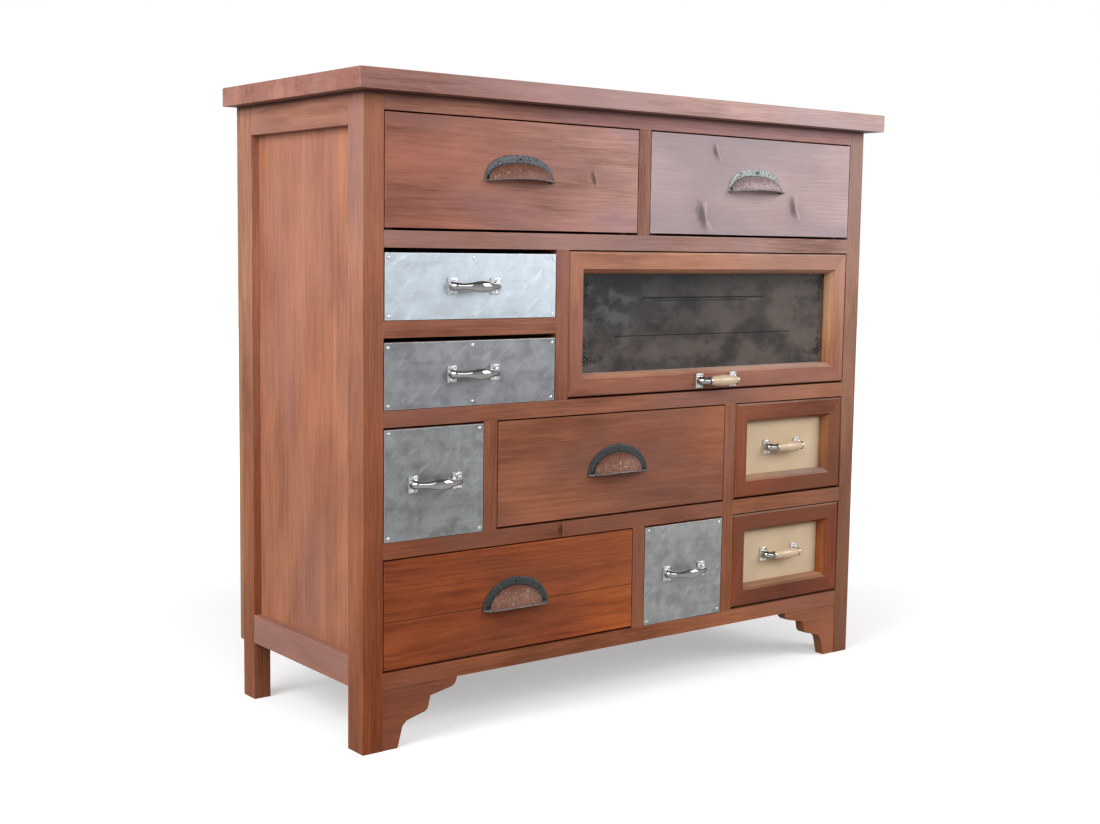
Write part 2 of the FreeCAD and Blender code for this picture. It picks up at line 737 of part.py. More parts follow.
rear_rails = [block(rear_inner_left, -rear_inner_left, rear_rail_front, rear_face, z, z + rail_height)
              for z in (leg_clearance, lower_rail_z, middle_rail_z, upper_rail_z, top_rail_z)]
rear_rails.append(block(rear_inner_left, partition_left, rear_rail_front, rear_face,
                        zinc_rail_z, zinc_rail_z + rail_height))
save("rear_rails", *rear_rails)
save("drawer_runners", *[make_runner(opening[side], 1 - 2 * side, opening[2], rear_rail_front)
                         for opening in openings.values() for side in (0, 1)])
save("compartment_boards", *make_compartment_boards())

# Drawers and flap
for name in wood_drawers:
    make_wood_drawer(name)
for name, zinc_height in zinc_front_heights.items():
    make_zinc_drawer(name, zinc_height)
for name in framed_drawers:
    make_framed_drawer(name)
make_flap()
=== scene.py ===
import math
import random

import bmesh
import bpy
from mathutils import Matrix, Vector


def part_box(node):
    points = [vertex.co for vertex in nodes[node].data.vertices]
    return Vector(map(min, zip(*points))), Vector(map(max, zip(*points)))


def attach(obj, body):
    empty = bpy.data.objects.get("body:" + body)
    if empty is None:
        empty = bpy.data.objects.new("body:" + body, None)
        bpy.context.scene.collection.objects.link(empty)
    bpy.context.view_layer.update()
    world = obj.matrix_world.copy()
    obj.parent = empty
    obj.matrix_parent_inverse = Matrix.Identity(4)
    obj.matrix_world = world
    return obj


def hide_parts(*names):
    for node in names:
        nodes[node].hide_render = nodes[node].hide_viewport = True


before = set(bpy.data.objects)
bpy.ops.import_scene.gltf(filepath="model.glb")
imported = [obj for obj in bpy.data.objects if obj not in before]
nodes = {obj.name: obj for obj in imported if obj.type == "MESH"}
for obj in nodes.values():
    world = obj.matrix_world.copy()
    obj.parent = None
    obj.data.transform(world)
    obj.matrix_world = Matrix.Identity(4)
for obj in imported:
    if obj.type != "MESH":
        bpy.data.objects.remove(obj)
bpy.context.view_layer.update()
scene = bpy.context.scene

# Room and camera.
# The chest stands on a pale floor that runs on behind it into white. A wide lamp stands low at
# the right front, and its sheen pales the top drawers, together with a sheen painted into their
# stains; two more fill the front and the side.
picture_width, lens_in_pixels = 1100, 1527.1
camera_place = (-1.45145, -1.82778, 0.65846)
lens_turn, lens_dip, lens_tilt = math.radians(37.708), math.radians(6.134), math.radians(0.81)
ahead = Vector((math.sin(lens_turn) * math.cos(lens_dip), math.cos(lens_turn) * math.cos(lens_dip),
                -math.sin(lens_dip)))
level = ahead.cross(Vector((0, 0, 1))).normalized()
above = level.cross(ahead)
picture_right = level * math.cos(lens_tilt) + above * math.sin(lens_tilt)
picture_up = above * math.cos(lens_tilt) - level * math.sin(lens_tilt)
camera_data = bpy.data.cameras.new("camera")
camera_data.sensor_width = 36
camera_data.lens = camera_data.sensor_width * lens_in_pixels / picture_width
camera = bpy.data.objects.new("camera", camera_data)
camera.matrix_world = Matrix.Translation(camera_place) @ Matrix(
    (picture_right, picture_up, -ahead)).transposed().to_4x4()
scene.collection.objects.link(camera)
scene.camera = camera
scene.view_settings.view_transform = "Standard"


class Wire:
    """Output of a node. The signs + - * / and ** after a wire become Math nodes."""

    def __init__(self, socket):
        self.socket = socket
        self.tree = socket.id_data

    def __add__(self, other):
        return reckon("ADD", self, other)

    def __sub__(self, other):
        return reckon("SUBTRACT", self, other)

    def __mul__(self, other):
        return reckon("MULTIPLY", self, other)

    def __truediv__(self, other):
        return reckon("DIVIDE", self, other)

    def __pow__(self, other):
        return reckon("POWER", self, other)


def feed(node, sockets):
    """Gives sockets of a node their numbers, colours, materials, or wires from other nodes."""
    for name, value in sockets.items():
        socket = node.inputs[name]
        if isinstance(value, Wire):
            node.id_data.links.new(value.socket, socket)
        elif socket.type == "RGBA":
            socket.default_value = (*value, 1)
        else:
            socket.default_value = value


def add_node(tree, kind, sockets=None, **settings):
    """Adds a node with its settings and sockets."""
    node = tree.nodes.new(kind)
    for name, value in settings.items():
        setattr(node, name, value)
    feed(node, sockets or {})
    return node


def put(tree, kind, sockets=None, output=0, **settings):
    """Adds a node, and returns the wire from one of its outputs."""
    return Wire(add_node(tree, kind, sockets, **settings).outputs[output])


def tree_of(values):
    """Tree of the first wire among the values."""
    return next(value.tree for value in values if isinstance(value, Wire))


def reckon(operation, *values):
    """Wire from a Math node on one, two or three values."""
    return put(tree_of(values), "ShaderNodeMath", dict(enumerate(values)), operation=operation)


def softly(value, low, high, at_low=0.0, at_high=1.0):
    """Value mapped smoothly from the span low..high to the span at_low..at_high."""
    spans = {"Value": value, "From Min": low, "From Max": high, "To Min": at_low, "To Max": at_high}
    return put(value.tree, "ShaderNodeMapRange", spans, "Result", interpolation_type="SMOOTHSTEP")


def mixed(share, first, second, way="MIX"):
    """Wire of a colour between the first and the second, which are colours or wires."""
    tree = tree_of((share, first, second))
    return put(tree, "ShaderNodeMix", {0: share, 6: first, 7: second}, 2, data_type="RGBA", blend_type=way)


def split(vector):
    """Wires of a vector's X, Y and Z."""
    return [Wire(output) for output in add_node(vector.tree, "ShaderNodeSeparateXYZ", {0: vector}).outputs]


def seen_rays(tree):
    """Wires that are one for rays from the camera, and for those from a gloss or through glass."""
    camera_ray, glossy_ray, through = (put(tree, "ShaderNodeLightPath", output=kind) for kind in (
        "Is Camera Ray", "Is Glossy Ray", "Is Transmission Ray"))
    return camera_ray, reckon("MAXIMUM", glossy_ray, through)


def room_lamp(name, place, aim, width, height, watts, colour=(1, 1, 1)):
    data = bpy.data.lights.new(name, "AREA")
    data.shape, data.size, data.size_y = "RECTANGLE", width, height
    data.energy, data.color = watts, colour
    lamp = bpy.data.objects.new(name, data)
    lamp.location = place
    lamp.rotation_euler = (Vector(aim) - Vector(place)).to_track_quat("-Z", "Y").to_euler()
    scene.collection.objects.link(lamp)


room_lamp("low_right_window", (2.1, -2.1, 1.55), (0.1, 0, 0.6), 1.7, 1.5, 56, (0.93, 0.95, 1.0))
room_lamp("left_window", (-2.7, -0.5, 1.9), (0, 0, 0.4), 2.2, 2.0, 80)
room_lamp("front_fill", (-1.4, -3.2, 2.3), (0, 0, 0.4), 2.2, 2.0, 34)

floor_reach = 9
floor_corners = [(x * floor_reach, y * floor_reach, 0) for x, y in ((-1, -1), (1, -1), (1, 1), (-1, 1))]
floor_mesh = bpy.data.meshes.new("floor")
floor_mesh.from_pydata(floor_corners, [], [(0, 1, 2, 3)])
floor = bpy.data.objects.new("floor", floor_mesh)
scene.collection.objects.link(floor)
floor_paint = bpy.data.materials.new("pale_floor")
floor_paint.use_nodes = True
tree = floor_paint.node_tree
tree.nodes.clear()
camera_ray, glossy_ray = seen_rays(tree)
spot = put(tree, "ShaderNodeTexCoord", output="Object")
away = put(tree, "ShaderNodeVectorMath", {0: spot}, "Value", operation="LENGTH")
glow = reckon("MAXIMUM", camera_ray * softly(away, 0.5, 2.4, 0.38, 1.0), glossy_ray * 0.25)
matt_tone = mixed(camera_ray, (0.35, 0.35, 0.35), (0.78, 0.78, 0.78))
matt = put(tree, "ShaderNodeBsdfDiffuse", {"Color": matt_tone})
shine = put(tree, "ShaderNodeEmission", {"Color": (1, 1, 1), "Strength": glow})
add_node(tree, "ShaderNodeOutputMaterial", {"Surface": put(tree, "ShaderNodeAddShader", {0: matt, 1: shine})})
floor_mesh.materials.append(floor_paint)

sky = bpy.data.worlds.new("white_room")
sky.use_nodes = True
scene.world = sky
tree = sky.node_tree
tree.nodes.clear()
camera_ray, glossy_ray = seen_rays(tree)
skyward = split(put(tree, "ShaderNodeTexCoord", output="Generated"))[2]
seen = reckon("MAXIMUM", camera_ray, glossy_ray * softly(skyward, 0.1, 0.7, 0.5, 0.15))
lit = reckon("SUBTRACT", 1.0, reckon("MAXIMUM", camera_ray, glossy_ray)) * 0.36
light = put(tree, "ShaderNodeBackground", {"Color": (1, 1, 1), "Strength": seen + lit})
add_node(tree, "ShaderNodeOutputWorld", {"Surface": light})

# Top board.
# One wide board of fir, glued up, with its upper edges rounded over. Like the whole outside it is
# stained red brown and waxed, so the grain shows as fine streaks and the edges rub paler.
chance = random.Random(6)
front_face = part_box("front_left_post")[0].y
under_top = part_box("top_board")[0].z


def solids_of(node):
    """The closed solids of a CAD node, each as its corners and triangles."""
    mesh = nodes[node].data
    mesh.calc_loop_triangles()
    keys = [tuple(round(c * 1e6) for c in v.co) for v in mesh.vertices]
    triangles, unpaired = [], {}
    for triangle in mesh.loop_triangles:
        corners = [keys[index] for index in triangle.vertices]
        if len(set(corners)) < 3:
            continue
        triangles.append(corners)
        for edge in zip(corners, corners[1:] + corners[:1]):
            back = edge[::-1]
            if unpaired.get(back):
                unpaired[back] -= 1
                if not unpaired[back]:
                    del unpaired[back]
            else:
                unpaired[edge] = unpaired.get(edge, 0) + 1
        if not unpaired:
            places = sorted({corner for triangle in triangles for corner in triangle})
            order = {corner: index for index, corner in enumerate(places)}
            yield [Vector(c) * 1e-6 for c in places], [[order[c] for c in triangle] for triangle in triangles]
            triangles = []


def mesh_from(build, name):
    """Plain mesh from a bmesh, which it frees."""
    mesh = bpy.data.meshes.new(name)
    build.to_mesh(mesh)
    build.free()
    return mesh


def modified(mesh, kind, settings):
    """Plain mesh that comes out of one modifier."""
    carrier = bpy.data.objects.new("carrier", mesh)
    scene.collection.objects.link(carrier)
    modifier = carrier.modifiers.new("shape", kind)
    for name, value in settings.items():
        if hasattr(modifier, name):
            setattr(modifier, name, value)
        else:
            modifier[name] = value
    changed = bpy.data.meshes.new_from_object(carrier.evaluated_get(bpy.context.evaluated_depsgraph_get()))
    bpy.data.objects.remove(carrier)
    return changed


def smooth_normals(mesh, angle):
    """Shades round faces smoothly, and keeps the flat ones flat up to their eased edges."""
    for polygon in mesh.polygons:
        polygon.use_smooth = True
    mesh.set_sharp_from_angle(angle=math.radians(angle))
    return modified(mesh, "WEIGHTED_NORMAL", {"keep_sharp": True})


def keep_piece(name, mesh, body):
    """Links a finished mesh as a piece of a body."""
    mesh.name = name
    piece = bpy.data.objects.new(name, mesh)
    scene.collection.objects.link(piece)
    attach(piece, body)
    return piece


def saw_boards(node, body, material, ease=0.0008, ending="_stained"):
    """Boards with eased edges in the place of a CAD node. Each is sawn from its own part of a log,
    which the attribute log_place keeps in metres: X along the grain, Y and Z across it."""
    boards = bmesh.new()
    log_place = boards.verts.layers.float_vector.new("log_place")
    board_tone = boards.verts.layers.float.new("board_tone")
    rubbed = boards.faces.layers.float.new("rubbed")
    for corners, triangles in solids_of(node):
        board = bmesh.new()
        verts = [board.verts.new(c) for c in corners]
        for triangle in triangles:
            board.faces.new([verts[index] for index in triangle])
        bmesh.ops.dissolve_limit(board, angle_limit=math.radians(0.5), verts=board.verts, edges=board.edges)
        sharp = [e for e in board.edges if len(e.link_faces) == 2 and e.calc_face_angle() > math.radians(50)]
        eased = bmesh.ops.bevel(board, geom=sharp, offset=ease, offset_type="OFFSET", segments=2, profile=0.6,
                                affect="EDGES", clamp_overlap=True)
        worn_and_painted_light = set(eased["faces"])
        low = Vector(min(c[axis] for c in corners) for axis in range(3))
        high = Vector(max(c[axis] for c in corners) for axis in range(3))
        size, middle = high - low, (high + low) / 2
        along, across, thick = sorted(range(3), key=lambda axis: -size[axis])
        pith = Vector((chance.uniform(0, 40), chance.uniform(-0.3, 0.3) * size[across],
                       chance.uniform(0.03, 0.09)))
        tone = chance.uniform(-1, 1)
        copies = {}
        for vert in board.verts:
            copies[vert] = boards.verts.new(vert.co)
            offset = vert.co - middle
            copies[vert][log_place] = pith + Vector((offset[along], offset[across], offset[thick]))
            copies[vert][board_tone] = tone
        for face in board.faces:
            copy = boards.faces.new([copies[vert] for vert in face.verts])
            copy[rubbed] = 1.0 if face in worn_and_painted_light else 0.0
        board.free()
    mesh = smooth_normals(mesh_from(boards, node), 40)
    mesh.materials.clear()
    mesh.materials.append(material)
    piece = keep_piece(node + ending, mesh, body)
    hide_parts(node)


def stretched(vector, x, y, z):
    return put(vector.tree, "ShaderNodeVectorMath", {0: vector, 1: (x, y, z)}, operation="MULTIPLY")


def grained(vector, x, y, z, detail=2.0, roughness=0.5):
    """Wire of a noise with so many grains to the metre along X, Y and Z."""
    sockets = {"Vector": stretched(vector, x, y, z), "Scale": 1.0, "Detail": detail, "Roughness": roughness}
    return put(vector.tree, "ShaderNodeTexNoise", sockets, "Fac")


def centred(value, share, around=0.5):
    """Value about its own middle, times a share."""
    return (value - around) * share


def grey(tone):
    return tone, tone, tone


def clamped(value):
    return put(value.tree, "ShaderNodeClamp", {0: value})


def tinted(colour, tint):
    return mixed(1.0, colour, tint, "MULTIPLY")


def bumped(height, strength, distance):
    """Wire of a surface normal that follows a height."""
    return put(height.tree, "ShaderNodeBump", {"Height": height, "Strength": strength, "Distance": distance})


def new_tree(kind, name, inputs, outputs):
    """New group of nodes with its named sockets: the group, wires from its inputs, and its output node."""
    kinds = {float: "NodeSocketFloat", tuple: "NodeSocketColor", Vector: "NodeSocketVector",
             int: "NodeSocketInt", bpy.types.Material: "NodeSocketMaterial", None: "NodeSocketGeometry"}
    tree = bpy.data.node_groups.new(name, kind)
    for label, value in inputs.items():
        if value in kinds:
            tree.interface.new_socket(name=label, in_out="INPUT", socket_type=kinds[value])
        else:
            socket = tree.interface.new_socket(name=label, in_out="INPUT", socket_type=kinds[type(value)])
            socket.default_value = (*value, 1) if isinstance(value, tuple) else value
    for label, value in outputs.items():
        tree.interface.new_socket(name=label, in_out="OUTPUT", socket_type=kinds[value])
    entry = add_node(tree, "NodeGroupInput")
    return tree, {label: Wire(entry.outputs[label]) for label in inputs}, add_node(tree, "NodeGroupOutput")


def new_finish(name):
    """New material: itself, its shader, and the wire of the place on the piece in metres."""
    material = bpy.data.materials.new(name)
    material.use_nodes = True
    tree = material.node_tree
    return material, tree.nodes["Principled BSDF"], put(tree, "ShaderNodeTexCoord", output="Object")


fir_grain, given, result = new_tree(
    "ShaderNodeTree", "fir_grain",
    {"Log place": Vector, "Place": Vector, "Tone": 0.0, "Rubbed": 0.0, "Bend": 0.0, "Knot": 0.0,
     "Crescent": 0.0, "Pale": (0.5, 0.2, 0.1), "Deep": (0.2, 0.06, 0.03), "Haze": (0.3, 0.14, 0.12),
     "Dark": (0.045, 0.014, 0.009), "Low tint": (1.0, 1.0, 1.0), "High tint": (1.0, 1.0, 1.0),
     "Right tint": (1.0, 1.0, 1.0), "Front tint": (1.0, 1.0, 1.0), "Ring width": 0.006, "Rings": 0.12,
     "Streaks": 0.5, "Hazy": 0.5, "Dark streaks": 0.2},
    {"Color": tuple, "Roughness": float, "Relief": float})
log = given["Log place"]
wander = centred(grained(log, 2.1, 16, 16), 0.03)
along, across, deep = split(log)
radius = reckon("SQRT", across ** 2.0 + deep ** 2.0)
year = reckon("FRACT", (radius + wander + given["Bend"]) / given["Ring width"])
late_wood = softly(year, 0.25, 0.85) * softly(year, 0.88, 1.0, 1.0, 0.0)
broad = grained(log, 6, 90, 90, 3.0, 0.6)
fine = grained(log, 26, 560, 560, 2.0, 0.6)
scratch = grained(log, 22, 700, 700)
blotch = grained(log, 5.5, 15, 15)
wash = grained(log, 3.1, 8, 8)
share = centred(late_wood, given["Rings"], 0.3)
share += centred(broad, given["Streaks"] * 1.5)
share += centred(fine, given["Streaks"] * 1.6)
share += centred(blotch, 1.5)
share += 0.5
share += given["Tone"] * 0.08
colour = mixed(clamped(share), given["Pale"], given["Deep"])
colour = mixed(softly(wash, 0.4, 0.6) * given["Hazy"], colour, given["Haze"])
x, y, z = split(given["Place"])
paler = tinted(given["Pale"], (1.25, 1.25, 1.2))
pale_line = softly(scratch, 0.57, 0.68) * (given["Streaks"] * 0.45)
deep_streak = softly(grained(log, 2.6, 42, 42), 0.62, 0.78) * given["Dark streaks"]
rub = given["Rubbed"] * softly(grained(log, 14, 60, 60), 0.42, 0.62, 0.0, 0.5)
# Painted shade: a dark band on the rails and posts just under the top board, where its overhang shades them.
painted_shade_under_top = (softly(z, under_top - 0.008, under_top - 0.0005, 0.0, 0.8)
         * softly(z, under_top - 0.0001, under_top + 0.0001, 1.0, 0.0))
for mark, tone in ((pale_line, paler), (deep_streak, given["Dark"]), (given["Knot"], given["Dark"]),
                   (given["Crescent"], paler), (rub, paler), (painted_shade_under_top, given["Dark"])):
    colour = mixed(mark, colour, tone)
# Painted light and shade: the low and high tints darken the stain near the floor and pale it higher up, the
# right tint paints the right lamp's sheen towards the right side, and the front tint paints shade on faces in
# the plane of the front.
worn_and_painted_light = mixed(softly(z, 0.1, 0.8), given["Low tint"], given["High tint"])
painted_sheen_to_right = mixed(softly(x, -0.45, 0.45), (1, 1, 1), given["Right tint"])
facing = mixed(softly(y, front_face + 0.0001, front_face + 0.0008), given["Front tint"], (1, 1, 1))
for tint in (worn_and_painted_light, painted_sheen_to_right, facing):
    colour = tinted(colour, tint)
feed(result, {"Color": colour, "Roughness": fine * 0.16 + (wash * 0.15 + 0.3),
              "Relief": fine * 0.6 + late_wood * 0.3})

fir_knot, given, result = new_tree(
    "ShaderNodeTree", "fir_knot", {"Place": Vector, "Centre": Vector, "Radius": 0.008, "Slant": 0.0},
    {"Knot": float, "Crescent": float, "Bend": float})
offset = put(fir_knot, "ShaderNodeVectorMath", {0: given["Place"], 1: given["Centre"]}, operation="SUBTRACT")
x, y, z = split(offset)
leaning = z * given["Slant"] + x
flat = z * 0.55
sizes = reckon("SQRT", leaning ** 2.0 + flat ** 2.0) / given["Radius"]
swirl = reckon("EXPONENT", (sizes * 0.42) ** 2.0 * -1.0)
cloudy = grained(given["Place"], 160, 160, 90) * 1.2 + sizes
heart = softly(cloudy, 0.9, 2.3, 0.85, 0.0)
beside = leaning / given["Radius"] - 2.1
arc = reckon("SQRT", beside ** 2.0 + (flat / given["Radius"]) ** 2.0)
arc = ((arc - 1.2) * 4.0) ** 2.0
crescent = reckon("EXPONENT", arc * -1.0) * softly(beside, -0.9, -0.2, 0.4, 0.0)
feed(result, {"Knot": reckon("MAXIMUM", heart, swirl * 0.16), "Crescent": crescent,
              "Bend": swirl * (given["Radius"] * 1.6)})


def stained_fir(name, pale, deep, haze, knots=(), glue_line=None, bump=0.2, sheen=0.15, gloss=0.0,
                painted_edge_light=None, **stain):
    """Stained and waxed fir. Knots are (centre, radius, slant) and a glue line is a height, in metres.
    The rest of the stain goes to the sockets of fir_grain: its low, high, right and front tints change
    the colour from the floor up, towards the right side, and on faces in the plane of the front, and so
    paint the light and shade that fall there. The edge tints are two more: painted light on edges that
    face left, and a painted sheen on edges that face upwards."""
    material, shader, place = new_finish(name)
    tree = place.tree
    sockets = {"Place": place, "Pale": pale, "Deep": deep, "Haze": haze}
    for label, value in stain.items():
        sockets[label.capitalize().replace("_", " ")] = value
    for label, attribute, output in (("Log place", "log_place", "Vector"), ("Tone", "board_tone", "Fac"),
                                     ("Rubbed", "rubbed", "Fac")):
        sockets[label] = put(tree, "ShaderNodeAttribute", output=output, attribute_name=attribute)
    for centre, radius, slant in knots:
        knot = add_node(tree, "ShaderNodeGroup", {"Place": place, "Centre": centre, "Radius": radius,
                                                  "Slant": slant}, node_tree=fir_knot).outputs
        for label, operation in (("Knot", "MAXIMUM"), ("Crescent", "MAXIMUM"), ("Bend", "ADD")):
            sockets[label] = reckon(operation, Wire(knot[label]), sockets.get(label, 0.0))
    if glue_line is not None:
        line = softly(reckon("ABSOLUTE", split(place)[2] - glue_line), 0.0003, 0.0011, 0.8, 0.0)
        sockets["Knot"] = reckon("MAXIMUM", line, sockets.get("Knot", 0.0))
    wood = add_node(tree, "ShaderNodeGroup", sockets, node_tree=fir_grain).outputs
    colour = Wire(wood["Color"])
    # Painted light: faces turned to the left are tinted as if lit from the left, and faces turned upwards get
    # a painted sheen.
    if painted_edge_light:
        facing = split(put(tree, "ShaderNodeTexCoord", output="Normal"))
        painted_left_light, painted_upper_sheen = painted_edge_light
        colour = mixed(softly(facing[0], -0.9, -0.5, 1.0, 0.0), colour, tinted(colour, painted_left_light))
        colour = mixed(softly(facing[2], 0.5, 0.9), colour, tinted(colour, painted_upper_sheen))
    feed(shader, {"Base Color": colour, "Roughness": Wire(wood["Roughness"]) + gloss,
                  "Specular IOR Level": sheen, "Normal": bumped(Wire(wood["Relief"]), bump, 0.0006)})
    return material


# Its right tint is painted sheen: the board goes paler and pinker towards the right.
top_stain = stained_fir("top_board_stain", (0.45, 0.205, 0.155), (0.18, 0.068, 0.05), (0.33, 0.175, 0.16),
                        hazy=0.6, sheen=0.3, right_tint=(1.4, 1.9, 2.15))
saw_boards("top_board", "carcass", top_stain)

# Posts.
# Four posts run from the floor to the top board, and their lower ends are the feet. The side frames
# are jointed into them, and the front rails are tenoned into the two front ones.
# Painted light and shade: the posts are darker and more orange near the floor and on their front faces, and
# paler and pinker higher up and towards the right.
post_stain = stained_fir("post_stain", (0.5, 0.225, 0.132), (0.21, 0.074, 0.041), (0.315, 0.163, 0.132),
                         low_tint=(0.72, 0.56, 0.42), high_tint=(1.12, 1.2, 1.32),
                         right_tint=(1.04, 1.55, 2.1), front_tint=(0.88, 0.69, 0.53))
for post in ("front_left_post", "front_right_post", "rear_left_post", "rear_right_post"):
    saw_boards(post, "carcass", post_stain)

# Side frames and their panels.
# Each side is a thin board of upright strips, glued edge to edge, that floats in grooves of the
# posts and of an upper and a lower side rail.
# Its low and high tints paint the light: a little darker near the floor and paler above.
panel_stain = stained_fir("side_panel_stain", (0.5, 0.205, 0.11), (0.24, 0.085, 0.048), (0.36, 0.175, 0.13),
                          streaks=0.6, hazy=0.4, dark_streaks=0.1, ring_width=0.009,
                          low_tint=(0.92, 0.92, 0.92), high_tint=(1.05, 1.07, 1.12))
for panel in ("left_side_panel", "right_side_panel"):
    saw_boards(panel, "carcass", panel_stain)
side_rail_stain = stained_fir("side_rail_stain", (0.46, 0.21, 0.14), (0.19, 0.072, 0.046), (0.3, 0.16, 0.14))
saw_boards("side_rails", "carcass", side_rail_stain)

# Face frame.
# Rails between the rows of drawers, tenoned into the posts, and short uprights that divide the rows.
# Painted light and shade: the rail tints darken the rails near the floor and pale them higher up and to the
# right, and the upper and top rails get paler copies of the rail stain for the sheen on the upper front.
rail_tints = {"low_tint": (0.85, 0.66, 0.48), "high_tint": (1.0, 1.02, 1.12), "right_tint": (1.25, 1.5, 1.65)}
rail_knot = ((-0.143, front_face, 0.265), 0.0045, 0.0)
rail_stain = stained_fir("rail_stain", (0.37, 0.145, 0.08), (0.13, 0.042, 0.022), (0.25, 0.115, 0.095),
                         knots=(rail_knot,), **rail_tints)
upper_rail_stain = stained_fir("upper_rail_stain", (0.43, 0.21, 0.14), (0.17, 0.066, 0.042),
                               (0.3, 0.16, 0.135), **rail_tints)
top_rail_stain = stained_fir("top_rail_stain", (0.5, 0.205, 0.124), (0.19, 0.064, 0.037),
                             (0.34, 0.16, 0.145), **rail_tints)
saw_boards("upper_rail", "carcass", upper_rail_stain)
saw_boards("front_top_rail", "carcass", top_rail_stain)
for rail in ("middle_rail", "lower_rail", "bottom_rail", "short_rails", "front_dividers"):
    saw_boards(rail, "carcass", rail_stain)

# Corner brackets.
# A board under each end of the bottom rail, sawn in two rounded steps down to its foot, and glued to
# the rail and the post.
saw_boards("front_brackets", "carcass", rail_stain, ease=0.0006)

# Back and inside of the carcass.
# Thinly stained softwood that isn't seen from the front while all is shut: the back, the rails that
# it is nailed to, the runners of the drawers, and the boards round the compartment of the flap.
inner_wood = stained_fir("inner_wood", (0.40, 0.21, 0.11), (0.26, 0.12, 0.06), (0.34, 0.19, 0.12),
                         dark=(0.1, 0.045, 0.025), bump=0.15, gloss=0.15)


def saw_plain_boards(node, body, ease=0.0005):
    saw_boards(node, body, inner_wood, ease, "_boards")


for hidden in ("back_panel", "rear_rails", "drawer_runners", "compartment_boards"):
    saw_plain_boards(hidden, "carcass")

# Wooden drawers.
# A flat front of solid fir, housed over the two sides of a plain box with a grooved-in bottom.
# The right one is knotty, and the bottom front is glued up from two boards. The fronts are stained
# paler and pinker towards the top and the right and darker below, which paints the light: the sheen
# high on the front and the shade low on it. The right one's pale pink stain is that painted sheen.
left_knot = ((-0.0936, front_face, 0.7546), 0.004, 0.3)
right_knots = (((0.1133, front_face, 0.7084), 0.0095, 0.3), ((0.3059, front_face, 0.7253), 0.008, 0.3),
               ((0.1385, front_face, 0.803), 0.005, 0.4))
wooden_fronts = {
    "top_left_drawer": stained_fir(
        "top_left_drawer_stain", (0.43, 0.15, 0.09), (0.18, 0.055, 0.03), (0.24, 0.098, 0.082), hazy=0.7,
        sheen=0.25, right_tint=(2.0, 3.5, 5.0), knots=(left_knot,)),
    "top_right_drawer": stained_fir(
        "top_right_drawer_stain", (0.57, 0.41, 0.39), (0.34, 0.21, 0.2), (0.31, 0.235, 0.245), hazy=0.7,
        dark=(0.06, 0.032, 0.03), streaks=0.25, dark_streaks=0.05, sheen=0.4, knots=right_knots),
    "middle_drawer": stained_fir(
        "middle_drawer_stain", (0.34, 0.125, 0.062), (0.13, 0.04, 0.019), (0.165, 0.073, 0.056), hazy=0.6,
        right_tint=(1.25, 1.2, 1.15)),
    "bottom_drawer": stained_fir(
        "bottom_drawer_stain", (0.36, 0.085, 0.024), (0.13, 0.026, 0.008), (0.14, 0.042, 0.022), rings=0.2,
        glue_line=0.171, right_tint=(2.2, 2.3, 1.8)),
}
for drawer, stain in wooden_fronts.items():
    saw_boards(drawer + "_front", drawer, stain)
    saw_plain_boards(drawer + "_box", drawer)

# Cup pulls.
# A pressed iron cup, open below for the fingertips, on a plate held by three small screws: wide with
# a flat top in the top row, and half moons below. The iron is blackened; the cup has fine upright
# flutes under a rust-brown crackle, and a row of small pearls is pressed round it.
cup_projection, lip_reach, mouth_arch = 0.022, 0.0235, 0.0035
cup_wall, flutes, flute_depth = 0.0018, 22, 0.010
cup_bands, cup_steps = 14, 132
wide_cup = {"plate": (0.057, 0.036), "dome": (0.0515, 0.025), "power": 2.4}
moon_cup = {"plate": (0.0555, 0.0425), "dome": (0.044, 0.031), "power": 2.0}


def squared(share, power):
    """Share of an oval's half axis from a cosine or sine. Power 2 is an ellipse, and more is squarer."""
    return math.copysign(abs(share) ** (2 / power), share)


def half_oval(half_width, reach, power, steps=72):
    """Points of a half oval from right to left: x, and how far it stands up or out."""
    turns = [math.pi * step / steps for step in range(steps + 1)]
    return [Vector((half_width * squared(math.cos(turn), power), reach * squared(math.sin(turn), power)))
            for turn in turns]


def mouth_rise(x, plate):
    """Height of the arched mouth over the pull's foot."""
    return mouth_arch * (1 - (x / plate[0]) ** 2)


def quads_between(build, rows):
    """Faces between rows of corners, each row against the next one."""
    for row, following in zip(rows, rows[1:]):
        for corners in zip(row, row[1:], following[1:], following):
            build.faces.new(corners)


def iron_cup(plate, dome, power):
    """Fluted dome over its arched mouth, with the drawer's face at y = 0. Its wall is added after."""
    half_width, height = dome
    cup = bmesh.new()
    rows = []
    for band in range(cup_bands + 1):
        row = []
        for step in range(cup_steps + 1):
            turn = math.pi * step / cup_steps
            across = squared(math.cos(turn), power)
            lowest = math.asin((mouth_rise(half_width * across, plate) / height) ** (power / 2))
            rise = lowest + (math.radians(88) - lowest) * band / cup_bands
            flute = flute_depth * math.cos(2 * flutes * turn) * math.cos(rise) * min(1, band / 2)
            inward = squared(math.cos(rise), power) * (1 + flute)
            row.append(cup.verts.new((half_width * inward * across,
                                      -cup_projection * inward * squared(math.sin(turn), power) - 0.0001,
                                      height * squared(math.sin(rise), power))))
        rows.append(row)
    quads_between(cup, rows)
    cup.faces.new(rows[-1])
    bmesh.ops.recalc_face_normals(cup, faces=cup.faces)
    return modified(mesh_from(cup, "iron_cup"), "SOLIDIFY", {"thickness": cup_wall, "offset": -1})


